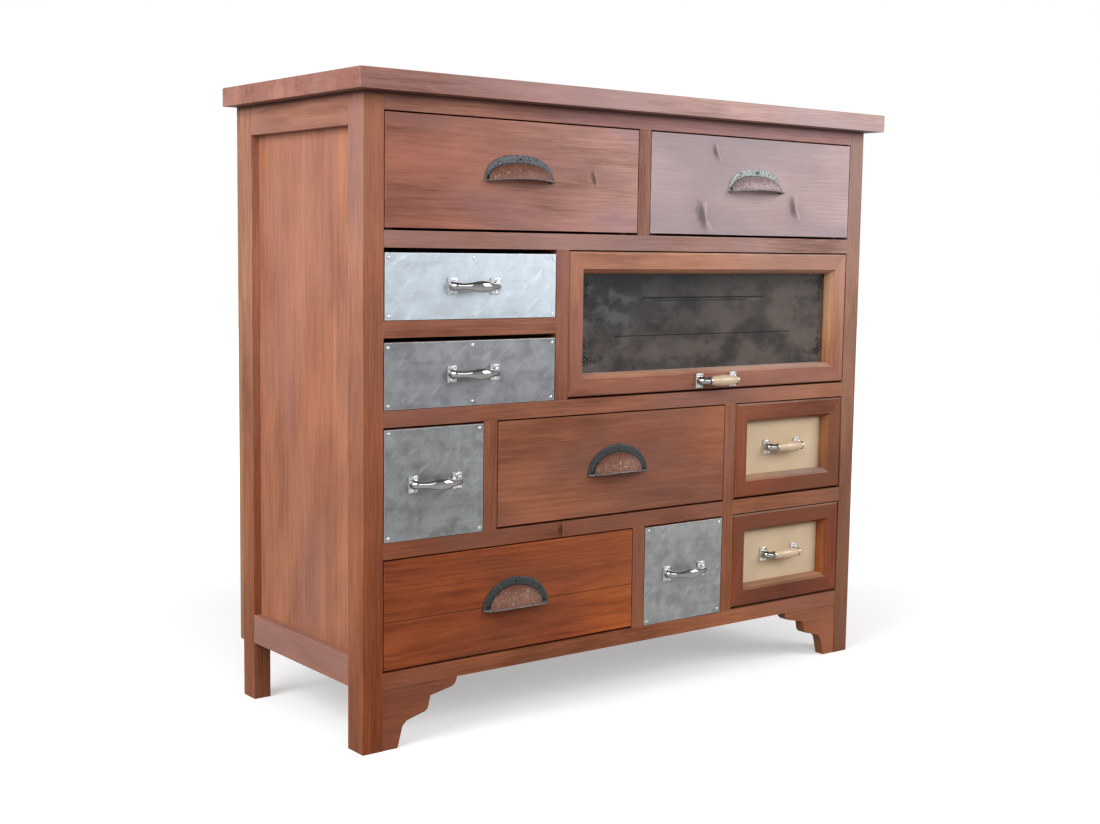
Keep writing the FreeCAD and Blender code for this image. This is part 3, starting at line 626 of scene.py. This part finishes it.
def swept_ring(points, section):
    """Closed form of a section carried along points. Each point gives the corners of its own ring."""
    build = bmesh.new()
    rings = [[build.verts.new(corner) for corner in section(index)] for index in range(len(points))]
    quads_between(build, [ring + ring[:1] for ring in rings])
    build.faces.new(rings[0])
    build.faces.new(rings[-1][::-1])
    bmesh.ops.recalc_face_normals(build, faces=build.faces)
    return mesh_from(build, "ring")


def iron_plate(plate, dome, power):
    """Flat plate round the cup, 2 mm thick, with a rounded outer rim."""
    outer, inner = half_oval(*plate, power), half_oval(dome[0] - 0.0015, dome[1] - 0.0015, power)
    profile = ((0.0, 0.0), (0.0, -0.0012), (0.06, -0.0018), (0.16, -0.002), (0.8, -0.0017), (1.0, -0.0017),
               (1.0, 0.0))

    def section(index):
        return [(corner.x, y, corner.y) for corner, y in
                ((outer[index].lerp(inner[index], share), y) for share, y in profile)]

    return swept_ring(outer, section)


def iron_lip(plate, dome, power):
    """Lip with a rolled edge along the arched mouth, drawn out at both sides to the plate's ends."""
    outer = half_oval(plate[0], lip_reach, power)
    inner = half_oval(dome[0] - 0.002, cup_projection - 0.002, power)
    roll = ((0.0, 0.00075), (0.00022, 0.00022), (0.00075, 0.0), (1, 0.0), (1, 0.0013), (0.00075, 0.0015),
            (0.00022, 0.00128))

    def section(index):
        inward = inner[index] - outer[index]
        corners = [(outer[index] + inward * min(1, far / inward.length), z) for far, z in roll]
        return [(corner.x, -corner.y - 0.00005, mouth_rise(corner.x, plate) + z) for corner, z in corners]

    return swept_ring(outer, section)


def iron_finish(name, ground, crackle, rub, crackle_size, roughness):
    """Blackened or rust-brown iron under a crackled lacquer, rubbed bright on high places."""
    material, shader, place = new_finish(name)
    edges = put(place.tree, "ShaderNodeTexVoronoi", {"Vector": stretched(place, 1, 1, 0.6),
                                                     "Scale": crackle_size}, "Distance",
                feature="DISTANCE_TO_EDGE")
    crack = softly(edges, 0.02, 0.14, 1.0, 0.0)
    patches = grained(place, 150, 150, 150, 4.0, 0.6)
    colour = mixed(crack * softly(patches, 0.35, 0.6), ground, crackle)
    colour = mixed(softly(patches, 0.56, 0.72, 0.0, 0.7), colour, rub)
    feed(shader, {"Base Color": colour, "Roughness": patches * 0.25 + roughness, "Metallic": 0.35,
                  "Normal": bumped(crack * -0.7 + patches, 0.5, 0.0005)})
    return material


def keep_mixed_piece(name, parts, place, body, angle=35):
    """Links a piece made of several meshes, each with its own finish, moved to a place."""
    build = bmesh.new()
    for index, (part, material) in enumerate(parts):
        start = len(build.faces)
        build.from_mesh(part)
        build.faces.ensure_lookup_table()
        for face in build.faces[start:]:
            face.material_index = index
    bmesh.ops.translate(build, verts=build.verts, vec=place)
    whole = mesh_from(build, name)
    for part, material in parts:
        whole.materials.append(material)
    return keep_piece(name, smooth_normals(whole, angle), body)


def seat_of(pull, rise=0.5):
    """Place of a pull on the face that carries it, at a share of the pull's own height."""
    low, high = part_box(pull)
    return Vector(((low.x + high.x) / 2, high.y, low.z + (high.z - low.z) * rise))


def shape_tree(name, sizes):
    """New tree of geometry nodes with its named sizes."""
    return new_tree("GeometryNodeTree", name, sizes, {"Geometry": None})


def form(tree, kind, sockets=None, output=0, **settings):
    """Adds a geometry node, and returns the wire from one of its outputs."""
    return put(tree, "GeometryNode" + kind, sockets, output, **settings)


def finish_shape(geometry, material, result):
    """Ends a tree of geometry nodes in plain geometry with its material."""
    real = form(geometry.tree, "RealizeInstances", {"Geometry": geometry})
    feed(result, {"Geometry": form(geometry.tree, "SetMaterial", {"Geometry": real, "Material": material})})


def shape_by(tree, sizes):
    """Plain mesh that a tree of geometry nodes makes with its named sizes."""
    settings = {"node_group": tree}
    for socket in tree.interface.items_tree:
        if socket.in_out == "INPUT" and socket.name in sizes:
            settings[socket.identifier] = sizes[socket.name]
    return modified(bpy.data.meshes.new(tree.name), "NODES", settings)


def domed_head(tree, radius, segments, rings, flatness):
    """Wire of a round head that stands out of the face as a share of its radius."""
    ball = form(tree, "MeshUVSphere", {"Segments": segments, "Rings": rings, "Radius": radius})
    return form(tree, "Transform", {"Geometry": ball, "Scale": (1, flatness, 1)})


def vector_of(tree, **parts):
    """Wire of a vector from its x, y and z. What isn't named stays zero."""
    return put(tree, "ShaderNodeCombineXYZ", {name.upper(): value for name, value in parts.items()})


# The bead of small pearls pressed round the cup is one tree, and the slotted screws another.
pearl_row, given, result = shape_tree("pearl_row", {
    "Half width": 0.0435, "Reach": 0.0305, "Power": 2.0, "Lift": 0.0019, "Pearls": 34,
    "Pearl radius": 0.0009, "Iron": bpy.types.Material})
tree, rim_steps = pearl_row, 96
turn = form(tree, "InputIndex") * (math.pi / rim_steps)
bend_power = reckon("DIVIDE", 2.0, given["Power"])
across, upward = reckon("COSINE", turn), reckon("MAXIMUM", reckon("SINE", turn), 0.0)
oval_x = reckon("SIGN", across) * given["Half width"] * reckon("ABSOLUTE", across) ** bend_power
oval = vector_of(tree, x=oval_x, y=given["Lift"] * -1.0, z=given["Reach"] * upward ** bend_power)
line = form(tree, "MeshLine", {"Count": rim_steps + 1}, mode="OFFSET")
bent = form(tree, "SetPosition", {"Geometry": line, "Position": oval})
rim = form(tree, "MeshToCurve", {"Mesh": bent})
spots = form(tree, "CurveToPoints", {"Curve": rim, "Count": given["Pearls"]})
pearl = form(tree, "MeshUVSphere", {"Segments": 8, "Rings": 5, "Radius": given["Pearl radius"]})
row = form(tree, "InstanceOnPoints", {"Points": spots, "Instance": pearl})
finish_shape(row, given["Iron"], result)

slotted_screws, given, result = shape_tree("slotted_screws", {
    "Half span": 0.05, "Rise": 0.006, "Top rise": 0.034, "Lift": 0.002, "Head radius": 0.0028, "Seed": 3,
    "Metal": bpy.types.Material})
tree = slotted_screws
slot_cut = form(tree, "MeshCube", {"Size": (0.012, 0.0012, 0.0007)})
slot_out = form(tree, "Transform", {"Geometry": slot_cut, "Translation": (0, -0.0013, 0)})
cut_head = form(tree, "MeshBoolean", {
    "Mesh 1": domed_head(tree, given["Head radius"], 20, 10, 0.42), "Mesh 2": slot_out},
    operation="DIFFERENCE")
which = form(tree, "InputIndex")
seat_z = form(tree, "Switch", {"Switch": reckon("COMPARE", which, 1.0, 0.1), "False": given["Rise"],
                               "True": given["Top rise"]}, input_type="FLOAT")
seat = vector_of(tree, x=(which - 1.0) * given["Half span"], y=given["Lift"] * -1.0, z=seat_z)
seats = form(tree, "MeshLine", {"Count": 3}, mode="OFFSET")
seated = form(tree, "SetPosition", {"Geometry": seats, "Position": seat})
turned = put(tree, "FunctionNodeRandomValue", {"Min": (0, -1.5, 0), "Max": (0, 1.5, 0),
                                               "Seed": given["Seed"]}, data_type="FLOAT_VECTOR")
heads = form(tree, "InstanceOnPoints", {"Points": seated, "Instance": cut_head, "Rotation": turned})
finish_shape(heads, given["Metal"], result)

irons = {name: iron_finish(name, *looks) for name, looks in {
    "grey_iron": ((0.115, 0.125, 0.135), grey(0.02), (0.2, 0.21, 0.22), 260, 0.42),
    "pale_iron": ((0.42, 0.45, 0.42), grey(0.08), (0.55, 0.57, 0.54), 260, 0.5),
    "black_iron": ((0.045, 0.052, 0.052), grey(0.012), (0.1, 0.105, 0.105), 260, 0.42),
    "pearl_iron": ((0.03, 0.028, 0.026), grey(0.006), (0.1, 0.09, 0.08), 500, 0.4),
    "rust_lacquer": ((0.24, 0.1, 0.065), (0.02, 0.008, 0.007), (0.45, 0.3, 0.22), 520, 0.38),
    "pink_lacquer": ((0.42, 0.3, 0.3), (0.03, 0.02, 0.02), (0.6, 0.55, 0.53), 620, 0.4),
    "worn_lip": ((0.22, 0.22, 0.21), grey(0.03), (0.6, 0.6, 0.58), 300, 0.3)}.items()}
pearl_iron = irons["pearl_iron"]
wide_screws = {"Half span": 0.0532, "Rise": 0.006, "Top rise": 0.0305, "Head radius": 0.0019}
moon_screws = {"Half span": 0.0492, "Rise": 0.005, "Top rise": 0.0369, "Head radius": 0.0023}
pearl_gap = 0.0006
for drawer, sizes, screws, flange_iron, lacquer in (
        ("top_left_drawer", wide_cup, wide_screws, "grey_iron", "rust_lacquer"),
        ("top_right_drawer", wide_cup, wide_screws, "pale_iron", "pink_lacquer"),
        ("middle_drawer", moon_cup, moon_screws, "black_iron", "rust_lacquer"),
        ("bottom_drawer", moon_cup, moon_screws, "black_iron", "rust_lacquer")):
    half_width, reach = (size + pearl_gap for size in sizes["dome"])
    pearls = {"Half width": half_width, "Reach": reach, "Power": sizes["power"], "Iron": pearl_iron}
    cup_parts = [(iron_plate(**sizes), irons[flange_iron]), (iron_cup(**sizes), irons[lacquer]),
                 (iron_lip(**sizes), irons["worn_lip"]), (shape_by(pearl_row, pearls), pearl_iron),
                 (shape_by(slotted_screws, {**screws, "Metal": pearl_iron}), pearl_iron)]
    seat = seat_of(drawer + "_pull", rise=0)
    pull = keep_mixed_piece(drawer + "_cup_pull", cup_parts, seat, drawer)
    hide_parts(drawer + "_pull")

# Zinc drawers.
# The same kind of box, with its core board faced in thin galvanised sheet. The sheet is cut flush,
# so its edges shine, and small round-headed nails hold its corners, and a wide one at mid-length too.


def zinc_sheet(name, dull, bright):
    """Galvanised sheet: cloudy spangle, faint scratches and stains, and bright cut edges."""
    material, shader, place = new_finish(name)
    tree = place.tree
    clouds = grained(place, 26, 26, 34, 4.0, 0.62)
    spangle = put(tree, "ShaderNodeTexVoronoi", {"Vector": place, "Scale": 95.0, "Randomness": 1.0}, "Color",
                  feature="F1")
    flakes = put(tree, "ShaderNodeSeparateColor", {0: spangle})
    share = centred(clouds, 1.5) + 0.5
    share = centred(flakes, 0.35) + share
    share = centred(grained(place, 9, 9, 160, 3.0, 0.55), 0.6) + share
    colour = mixed(clamped(share), dull, bright)
    slanting = put(tree, "ShaderNodeVectorRotate", {"Vector": place, "Angle": 0.75}, rotation_type="Y_AXIS")
    smears = softly(grained(slanting, 24, 24, 90, 4.0, 0.7), 0.54, 0.7, 0.0, 0.45)
    colour = mixed(smears, colour, [tone * 1.3 for tone in bright])
    cut_edge = put(tree, "ShaderNodeAttribute", output="Fac", attribute_name="rubbed")
    colour = mixed(cut_edge, colour, (0.75, 0.76, 0.78))
    feed(shader, {"Base Color": colour, "Roughness": clouds * 0.25 + (flakes * 0.06 + 0.27),
                  "Metallic": 0.85, "Normal": bumped(clouds, 0.12, 0.0015)})
    return material


def mottled_finish(name, grains, detail, tones, roughness, edges=None, metallic=1.0):
    """Finish in two tones, mottled by so many grains to the metre. The roughness is one number, or how
    it follows the mottling."""
    material, shader, place = new_finish(name)
    mottle = grained(place, *grains, detail)
    share = softly(mottle, *edges) if edges else mottle
    feed(shader, {"Base Color": mixed(share, *tones), "Metallic": metallic,
                  "Roughness": softly(mottle, *roughness) if isinstance(roughness, tuple) else roughness})
    return material


sheet_nails, given, result = shape_tree("sheet_nails", {
    "Width": 0.27, "Height": 0.086, "Inset": 0.0055, "Columns": 3, "Rows": 2, "Head radius": 0.0023,
    "Slip": 0.0009, "Seed": 11, "Metal": bpy.types.Material})
tree = sheet_nails
field = form(tree, "MeshGrid", {
    "Size X": given["Inset"] * -2.0 + given["Width"], "Size Y": given["Inset"] * -2.0 + given["Height"],
    "Vertices X": given["Columns"], "Vertices Y": given["Rows"]})
standing = form(tree, "Transform", {"Geometry": field, "Rotation": (math.pi / 2, 0, 0)})
back = given["Slip"] * -1.0
by_hand = put(tree, "FunctionNodeRandomValue", {
    "Min": vector_of(tree, x=back, z=back), "Max": vector_of(tree, x=given["Slip"], z=given["Slip"]),
    "Seed": given["Seed"]}, data_type="FLOAT_VECTOR")
driven = form(tree, "SetPosition", {"Geometry": standing, "Offset": by_hand})
heads = form(tree, "InstanceOnPoints", {
    "Points": driven, "Instance": domed_head(tree, given["Head radius"], 14, 8, 0.42)})
finish_shape(heads, given["Metal"], result)

nail_steel = mottled_finish("nail_steel", (700, 700, 700), 2.0, (grey(0.9), (0.4, 0.38, 0.36)), 0.28,
                            (0.4, 0.65))
zinc_faces = {
    "upper_zinc_drawer": (zinc_sheet("bright_zinc", (0.41, 0.45, 0.48), (0.55, 0.61, 0.65)), 3),
    "lower_zinc_drawer": (zinc_sheet("grey_zinc", (0.18, 0.184, 0.19), (0.32, 0.326, 0.335)), 3),
    "square_zinc_drawer": (zinc_sheet("stained_zinc", (0.19, 0.198, 0.195), (0.35, 0.362, 0.362)), 2),
    "bottom_zinc_drawer": (zinc_sheet("low_zinc", (0.26, 0.264, 0.258), (0.43, 0.43, 0.42)), 2),
}
for drawer, (zinc, columns) in zinc_faces.items():
    saw_plain_boards(drawer + "_box", drawer)
    saw_boards(drawer + "_sheet", drawer, zinc, 0.0003, "_face")
    low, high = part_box(drawer + "_sheet")
    nails = shape_by(sheet_nails, {"Width": high.x - low.x, "Height": high.z - low.z, "Columns": columns,
                                   "Seed": 11 + columns, "Metal": nail_steel})
    sheet_middle = ((low.x + high.x) / 2, front_face, (low.z + high.z) / 2)
    keep_mixed_piece(drawer + "_nails", [(nails, nail_steel)], sheet_middle, drawer)

# Bow pulls.
# One cast and polished bar per zinc drawer: it leaves an oblong plate in a flared root, narrows to a
# neck, fills out over the fingers and returns to the other plate. Two small screws hold each plate.
bow_span, plate_depth = 0.069, 0.0025
bow_bar, given, result = shape_tree("bow_bar", {
    "Span": bow_span, "Foot": plate_depth, "Reach": 0.0182, "Root radius": 0.0065, "Neck radius": 0.0028,
    "Middle height": 0.0152, "Middle depth": 0.0096, "Flare power": 4.0, "Swell power": 6.0, "From": 0.0,
    "To": 1.0, "Rings": 73, "Metal": bpy.types.Material})
tree = bow_bar
line = form(tree, "MeshLine", {"Count": given["Rings"]}, mode="OFFSET")
curve = form(tree, "MeshToCurve", {"Mesh": line})
step = form(tree, "InputIndex") / (given["Rings"] - 1.0)
turn = ((given["To"] - given["From"]) * step + given["From"]) * math.pi
across, out = reckon("COSINE", turn), reckon("MAXIMUM", reckon("SINE", turn), 0.0)
bow = vector_of(tree, x=across * -0.5 * given["Span"], y=given["Foot"] * -1.0 - given["Reach"] * out)
bent = form(tree, "SetPosition", {"Geometry": curve, "Position": bow})
root = (given["Root radius"] - given["Neck radius"]) * reckon("ABSOLUTE", across) ** given["Flare power"]
swell = out ** given["Swell power"]
girth, tallness = (swell * (given[size] * 0.5 - given["Neck radius"]) + (given["Neck radius"] + root)
                   for size in ("Middle depth", "Middle height"))
ring = form(tree, "CurvePrimitiveCircle", {"Resolution": 28, "Radius": 1.0})
marked = form(tree, "StoreNamedAttribute", {"Geometry": bent, "Name": "tallness",
                                            "Value": tallness / girth})
bar = form(tree, "CurveToMesh", {"Curve": marked, "Profile Curve": ring, "Scale": girth, "Fill Caps": True})
kept = form(tree, "InputNamedAttribute", {"Name": "tallness"}, "Attribute")
heightened = put(tree, "ShaderNodeVectorMath", {0: form(tree, "InputPosition"),
                                                1: vector_of(tree, x=1.0, y=1.0, z=kept)},
                 operation="MULTIPLY")
tall = form(tree, "SetPosition", {"Geometry": bar, "Position": heightened})
finish_shape(tall, given["Metal"], result)


def chrome_plate(x):
    """Oblong plate with a bevelled rim, under one root."""
    plate = bmesh.new()
    block = Matrix.Translation((x, -plate_depth / 2, 0)) @ Matrix.Diagonal((0.0145, plate_depth, 0.022, 1))
    bmesh.ops.create_cube(plate, size=1, matrix=block)
    rim = [e for e in plate.edges if max(v.co.y for v in e.verts) < -0.8 * plate_depth]
    bmesh.ops.bevel(plate, geom=rim, offset=0.001, segments=3, profile=0.5, affect="EDGES")
    return mesh_from(plate, "chrome_plate")


plate_screws, given, result = shape_tree("plate_screws", {
    "Span": bow_span, "Spacing": 0.0172, "Lift": plate_depth, "Head radius": 0.0021,
    "Metal": bpy.types.Material})
tree = plate_screws
field = form(tree, "MeshGrid", {"Size X": given["Span"], "Size Y": given["Spacing"], "Vertices X": 2,
                                "Vertices Y": 2})
standing = form(tree, "Transform", {"Geometry": field, "Rotation": (math.pi / 2, 0, 0),
                                    "Translation": vector_of(tree, y=given["Lift"] * -1.0)})
heads = form(tree, "InstanceOnPoints", {
    "Points": standing, "Instance": domed_head(tree, given["Head radius"], 16, 8, 0.6)})
finish_shape(heads, given["Metal"], result)

polished_chrome = mottled_finish("polished_chrome", (90, 90, 90), 3.0, (grey(0.52), (0.36, 0.35, 0.34)),
                                 (0.35, 0.7, 0.06, 0.16))
# Painted reflection: the plates get a paler copy of the chrome, standing in for the bright sky that their
# flat faces catch.
plate_chrome = mottled_finish("plate_chrome", (260, 260, 260), 3.0, ((0.85, 0.87, 0.86), (0.5, 0.49, 0.46)),
                              (0.35, 0.7, 0.18, 0.34), (0.4, 0.7))
plates = [(chrome_plate(-bow_span / 2), plate_chrome), (chrome_plate(bow_span / 2), plate_chrome),
          (shape_by(plate_screws, {"Metal": plate_chrome}), plate_chrome)]
bow_parts = [(shape_by(bow_bar, {"Metal": polished_chrome}), polished_chrome), *plates]
for drawer in zinc_faces:
    seat = seat_of(drawer + "_pull")
    pull = keep_mixed_piece(drawer + "_bow_pull", bow_parts, seat, drawer, 50)
    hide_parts(drawer + "_pull")

# Framed drawers.
# Four lengths of picture-frame moulding, mitred and glued round a board covered in plain linen.
# Painted light and shade: the moulding is darker near the floor and paler above, its inner edges that face
# left are painted as lit, and those that face upwards get a painted sheen.
moulding_stain = stained_fir("moulding_stain", (0.39, 0.115, 0.042), (0.135, 0.031, 0.01),
                             (0.18, 0.072, 0.038), sheen=0.3, gloss=-0.05, low_tint=(0.68, 0.5, 0.36),
                             high_tint=(1.15, 1.3, 1.45), painted_edge_light=((1.8, 2.4, 2.4), (1.9, 4.6, 9.5)))
linen, shader, place = new_finish("beige_linen")
x, y, z = split(place)
weave = 7200
over = reckon("SINE", x * weave) * reckon("SINE", z * weave) * 0.5 + 0.5
slub = grained(place, 60, 60, 900)
cloth = mixed(over, (0.6, 0.45, 0.29), (0.73, 0.56, 0.38))
cloth = mixed(slub * 0.35, cloth, (0.52, 0.38, 0.22))
cloth = mixed(softly(grained(place, 18, 18, 18, 3.0), 0.4, 0.7, 0.0, 0.35), cloth, (0.8, 0.62, 0.42))
feed(shader, {"Base Color": cloth, "Roughness": 0.85, "Specular IOR Level": 0.25,
              "Normal": bumped(over + slub, 0.3, 0.0003)})
for drawer in ("upper_framed_drawer", "lower_framed_drawer"):
    saw_boards(drawer + "_frame", drawer, moulding_stain, ease=0.0004)
    saw_boards(drawer + "_panel", drawer, linen, 0.0004, "_linen")
    saw_plain_boards(drawer + "_box", drawer)

# Grip pulls.
# Like the bow pulls, but the middle of the bar is a barrel-shaped grip turned from a cream
# material, held between two chrome ends; a pair of fine rings is cut near one end of it.
grip_half, grip_axis, collar_depth, collar_radius = 0.026, -0.0171, 0.0025, 0.0066
grip_end_share = math.acos(2 * grip_half / bow_span) / math.pi
cream_grip = mottled_finish("cream_grip", (60, 420, 420), 3.0, ((0.68, 0.52, 0.34), (0.54, 0.38, 0.22)),
                            (0.3, 0.7, 0.25, 0.42), metallic=0.0)


def grip_collar(x):
    """Chrome rim that holds an end of the grip."""
    collar = bmesh.new()
    bmesh.ops.create_cone(collar, cap_ends=True, segments=32, radius1=collar_radius, radius2=collar_radius,
                          depth=collar_depth,
                          matrix=Matrix.Translation((x, grip_axis, 0)) @ Matrix.Rotation(math.pi / 2, 4, "Y"))
    rims = [e for e in collar.edges if e.calc_face_angle() > 1]
    bmesh.ops.bevel(collar, geom=rims, offset=0.0007, segments=3, profile=0.5, affect="EDGES")
    return mesh_from(collar, "grip_collar")


def turned_grip():
    """Barrel-shaped grip between the collars, with two fine grooves near its left end."""
    stations = {grip_half * (step / 20 - 1): 0.0 for step in range(41)}
    for groove in (-0.0142, -0.0112):
        stations.update({groove - 0.0005: 0.0, groove: 0.0004, groove + 0.0005: 0.0})
    places = sorted(stations)

    def section(index):
        x = places[index]
        radius = 0.0058 + 0.0026 * math.cos(math.pi * x / (2 * grip_half)) - stations[x]
        turns = (math.tau * step / 32 for step in range(32))
        return [(x, grip_axis + radius * math.sin(turn), radius * math.cos(turn)) for turn in turns]

    return swept_ring(places, section)


collar_x = grip_half + collar_depth / 2
end_sizes = {"Reach": 0.02221, "Middle height": 0.0056, "Middle depth": 0.0056, "Rings": 33,
             "Metal": polished_chrome}
end_parts = [(shape_by(bow_bar, {**end_sizes, "To": grip_end_share}), polished_chrome),
             (shape_by(bow_bar, {**end_sizes, "From": 1 - grip_end_share}), polished_chrome),
             (grip_collar(-collar_x), polished_chrome), (grip_collar(collar_x), polished_chrome), *plates]
grip_parts = [(turned_grip(), cream_grip)]
for body in ("upper_framed_drawer", "lower_framed_drawer", "flap"):
    seat = seat_of(body + "_pull")
    ends = keep_mixed_piece(body + "_pull_ends", end_parts, seat, body, 50)
    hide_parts(body + "_pull")
    grip = keep_mixed_piece(body + "_turned_grip", grip_parts, seat, body, 50)
    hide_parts(body + "_grip")

# Flap.
# A glazed frame of the same moulding that lifts on two pins near its upper corners. The glass is
# smoky and clouded, held by beads behind, and printed with plain rules and a scroll in each corner;
# the light, the reflections and the frame's shadow on it are painted into its colour.
# Painted light and shade: the frame is darker and redder near its bottom and paler and pinker at its top and
# towards the right, with painted light on inner edges that face left and a painted sheen on those that face
# upwards.
flap_stain = stained_fir("flap_stain", (0.44, 0.14, 0.062), (0.16, 0.041, 0.017), (0.29, 0.11, 0.066),
                         sheen=0.3, gloss=-0.05, low_tint=(0.4, 0, 0), high_tint=(1.4, 1.75, 1.9),
                         right_tint=(1.1, 1.3, 1.5), painted_edge_light=((1.5, 1.75, 1.5), (1.5, 2.2, 2.5)))
saw_boards("flap_frame", "flap", flap_stain, ease=0.0004)
saw_plain_boards("flap_beads", "flap", 0.0003)
smoky_glass, shader, place = new_finish("smoky_glass")
x, y, z = split(place)
clouds = grained(place, 14, 14, 22, 4.0, 0.6)
smears = grained(place, 26, 26, 40, 3.0, 0.6)
# Painted light: the smoky colour is paler and browner low down and towards the right.
smoke_and_painted_light = mixed(softly(z, 0.48, 0.6), (0.135, 0.106, 0.09), (0.042, 0.042, 0.044))
smoke_and_painted_light = mixed(softly(x, -0.1, 0.35), smoke_and_painted_light, (0.15, 0.118, 0.1))
smoke_and_painted_light = mixed(softly(clouds, 0.35, 0.62, 0.75, 0.0), smoke_and_painted_light, grey(0.022))
# Painted reflection: pale smears, strongest at the left.
smoke_and_painted_light = mixed(softly(smears, 0.46, 0.7) * softly(x, -0.08, 0.16, 0.75, 0.1), smoke_and_painted_light, grey(0.15))
# Painted shadow: a dark band along the top of the glass, under the frame.
smoke_and_painted_light = mixed(softly(z, 0.585, 0.622, 0.0, 0.7), smoke_and_painted_light, grey(0.016))
for rule_height, rule_half, rule_middle, rule_reach in (
        (0.588, 0.0011, 0.14, 0.125), (0.5838, 0.0005, 0.136, 0.091), (0.533, 0.0005, 0.144, 0.182)):
    rule = softly(reckon("ABSOLUTE", z - rule_height), rule_half, rule_half + 0.0004, 0.85, 0.0)
    ends = softly(reckon("ABSOLUTE", x - rule_middle), rule_reach - 0.002, rule_reach, 1.0, 0.0)
    smoke_and_painted_light = mixed(rule * ends, smoke_and_painted_light, grey(0.006))
feed(shader, {"Base Color": smoke_and_painted_light, "Roughness": softly(clouds, 0.3, 0.7, 0.04, 0.12),
              "Transmission Weight": 0.2, "IOR": 1.5})
saw_boards("flap_glass", "flap", smoky_glass, 0.0004, "_pane")

# The printed scrolls are one sprig of coils, laid along both edges of the glass from every corner.
scroll_sprig, given, result = shape_tree("scroll_sprig", {
    "Coils": 4, "Pitch": 0.0098, "Outer radius": 0.0064, "Rotations": 1.3, "Line": 0.0008,
    "Ink": bpy.types.Material})
tree = scroll_sprig
coil = form(tree, "CurveSpiral", {
    "Resolution": 20, "Rotations": given["Rotations"], "Start Radius": 0.0006,
    "End Radius": given["Outer radius"], "Height": 0.0})
pen = form(tree, "CurvePrimitiveCircle", {"Resolution": 6, "Radius": given["Line"]})
drawn = form(tree, "CurveToMesh", {"Curve": coil, "Profile Curve": pen, "Fill Caps": True})
row = form(tree, "MeshLine", {"Count": given["Coils"], "Offset": vector_of(tree, x=given["Pitch"])},
           mode="OFFSET")
which = form(tree, "InputIndex")
coils = form(tree, "InstanceOnPoints", {
    "Points": row, "Instance": drawn, "Scale": which * -0.18 + 1.0,
    "Rotation": vector_of(tree, z=which * 2.5)})
upright = form(tree, "Transform", {"Geometry": coils, "Rotation": (math.pi / 2, 0, 0)})
finish_shape(upright, given["Ink"], result)

print_ink = mottled_finish("print_ink", (300, 300, 300), 2.0, (grey(0.004), (0.012, 0.012, 0.011)),
                           0.9, (0.45, 0.7), metallic=0.0)
sprig = shape_by(scroll_sprig, {"Ink": print_ink})
print_middle, print_half = Vector((0.1495, 0, 0.5555)), Vector((0.241, 0, 0.056))
print_flatness, print_face = 0.25, -0.1462
scrolls = []
for side in (-1, 1):
    for end in (-1, 1):
        corner = Matrix.Translation(print_middle + Vector((side * print_half.x, 0, end * print_half.z)))
        for turn in (0, -math.pi / 2):
            copy = sprig.copy()
            copy.transform(corner @ Matrix.Diagonal((-side, print_flatness, -end, 1))
                           @ Matrix.Rotation(turn, 4, "Y"))
            if side * end < 0:
                copy.flip_normals()
            scrolls.append((copy, print_ink))
keep_mixed_piece("flap_glass_scrolls", scrolls, (0, print_face, 0), "flap")

pin_steel = mottled_finish("pin_steel", (900, 60, 60), 2.0, (grey(0.5), grey(0.3)), 0.35)
nodes["flap_pins"].data.materials.clear()
nodes["flap_pins"].data.materials.append(pin_steel)
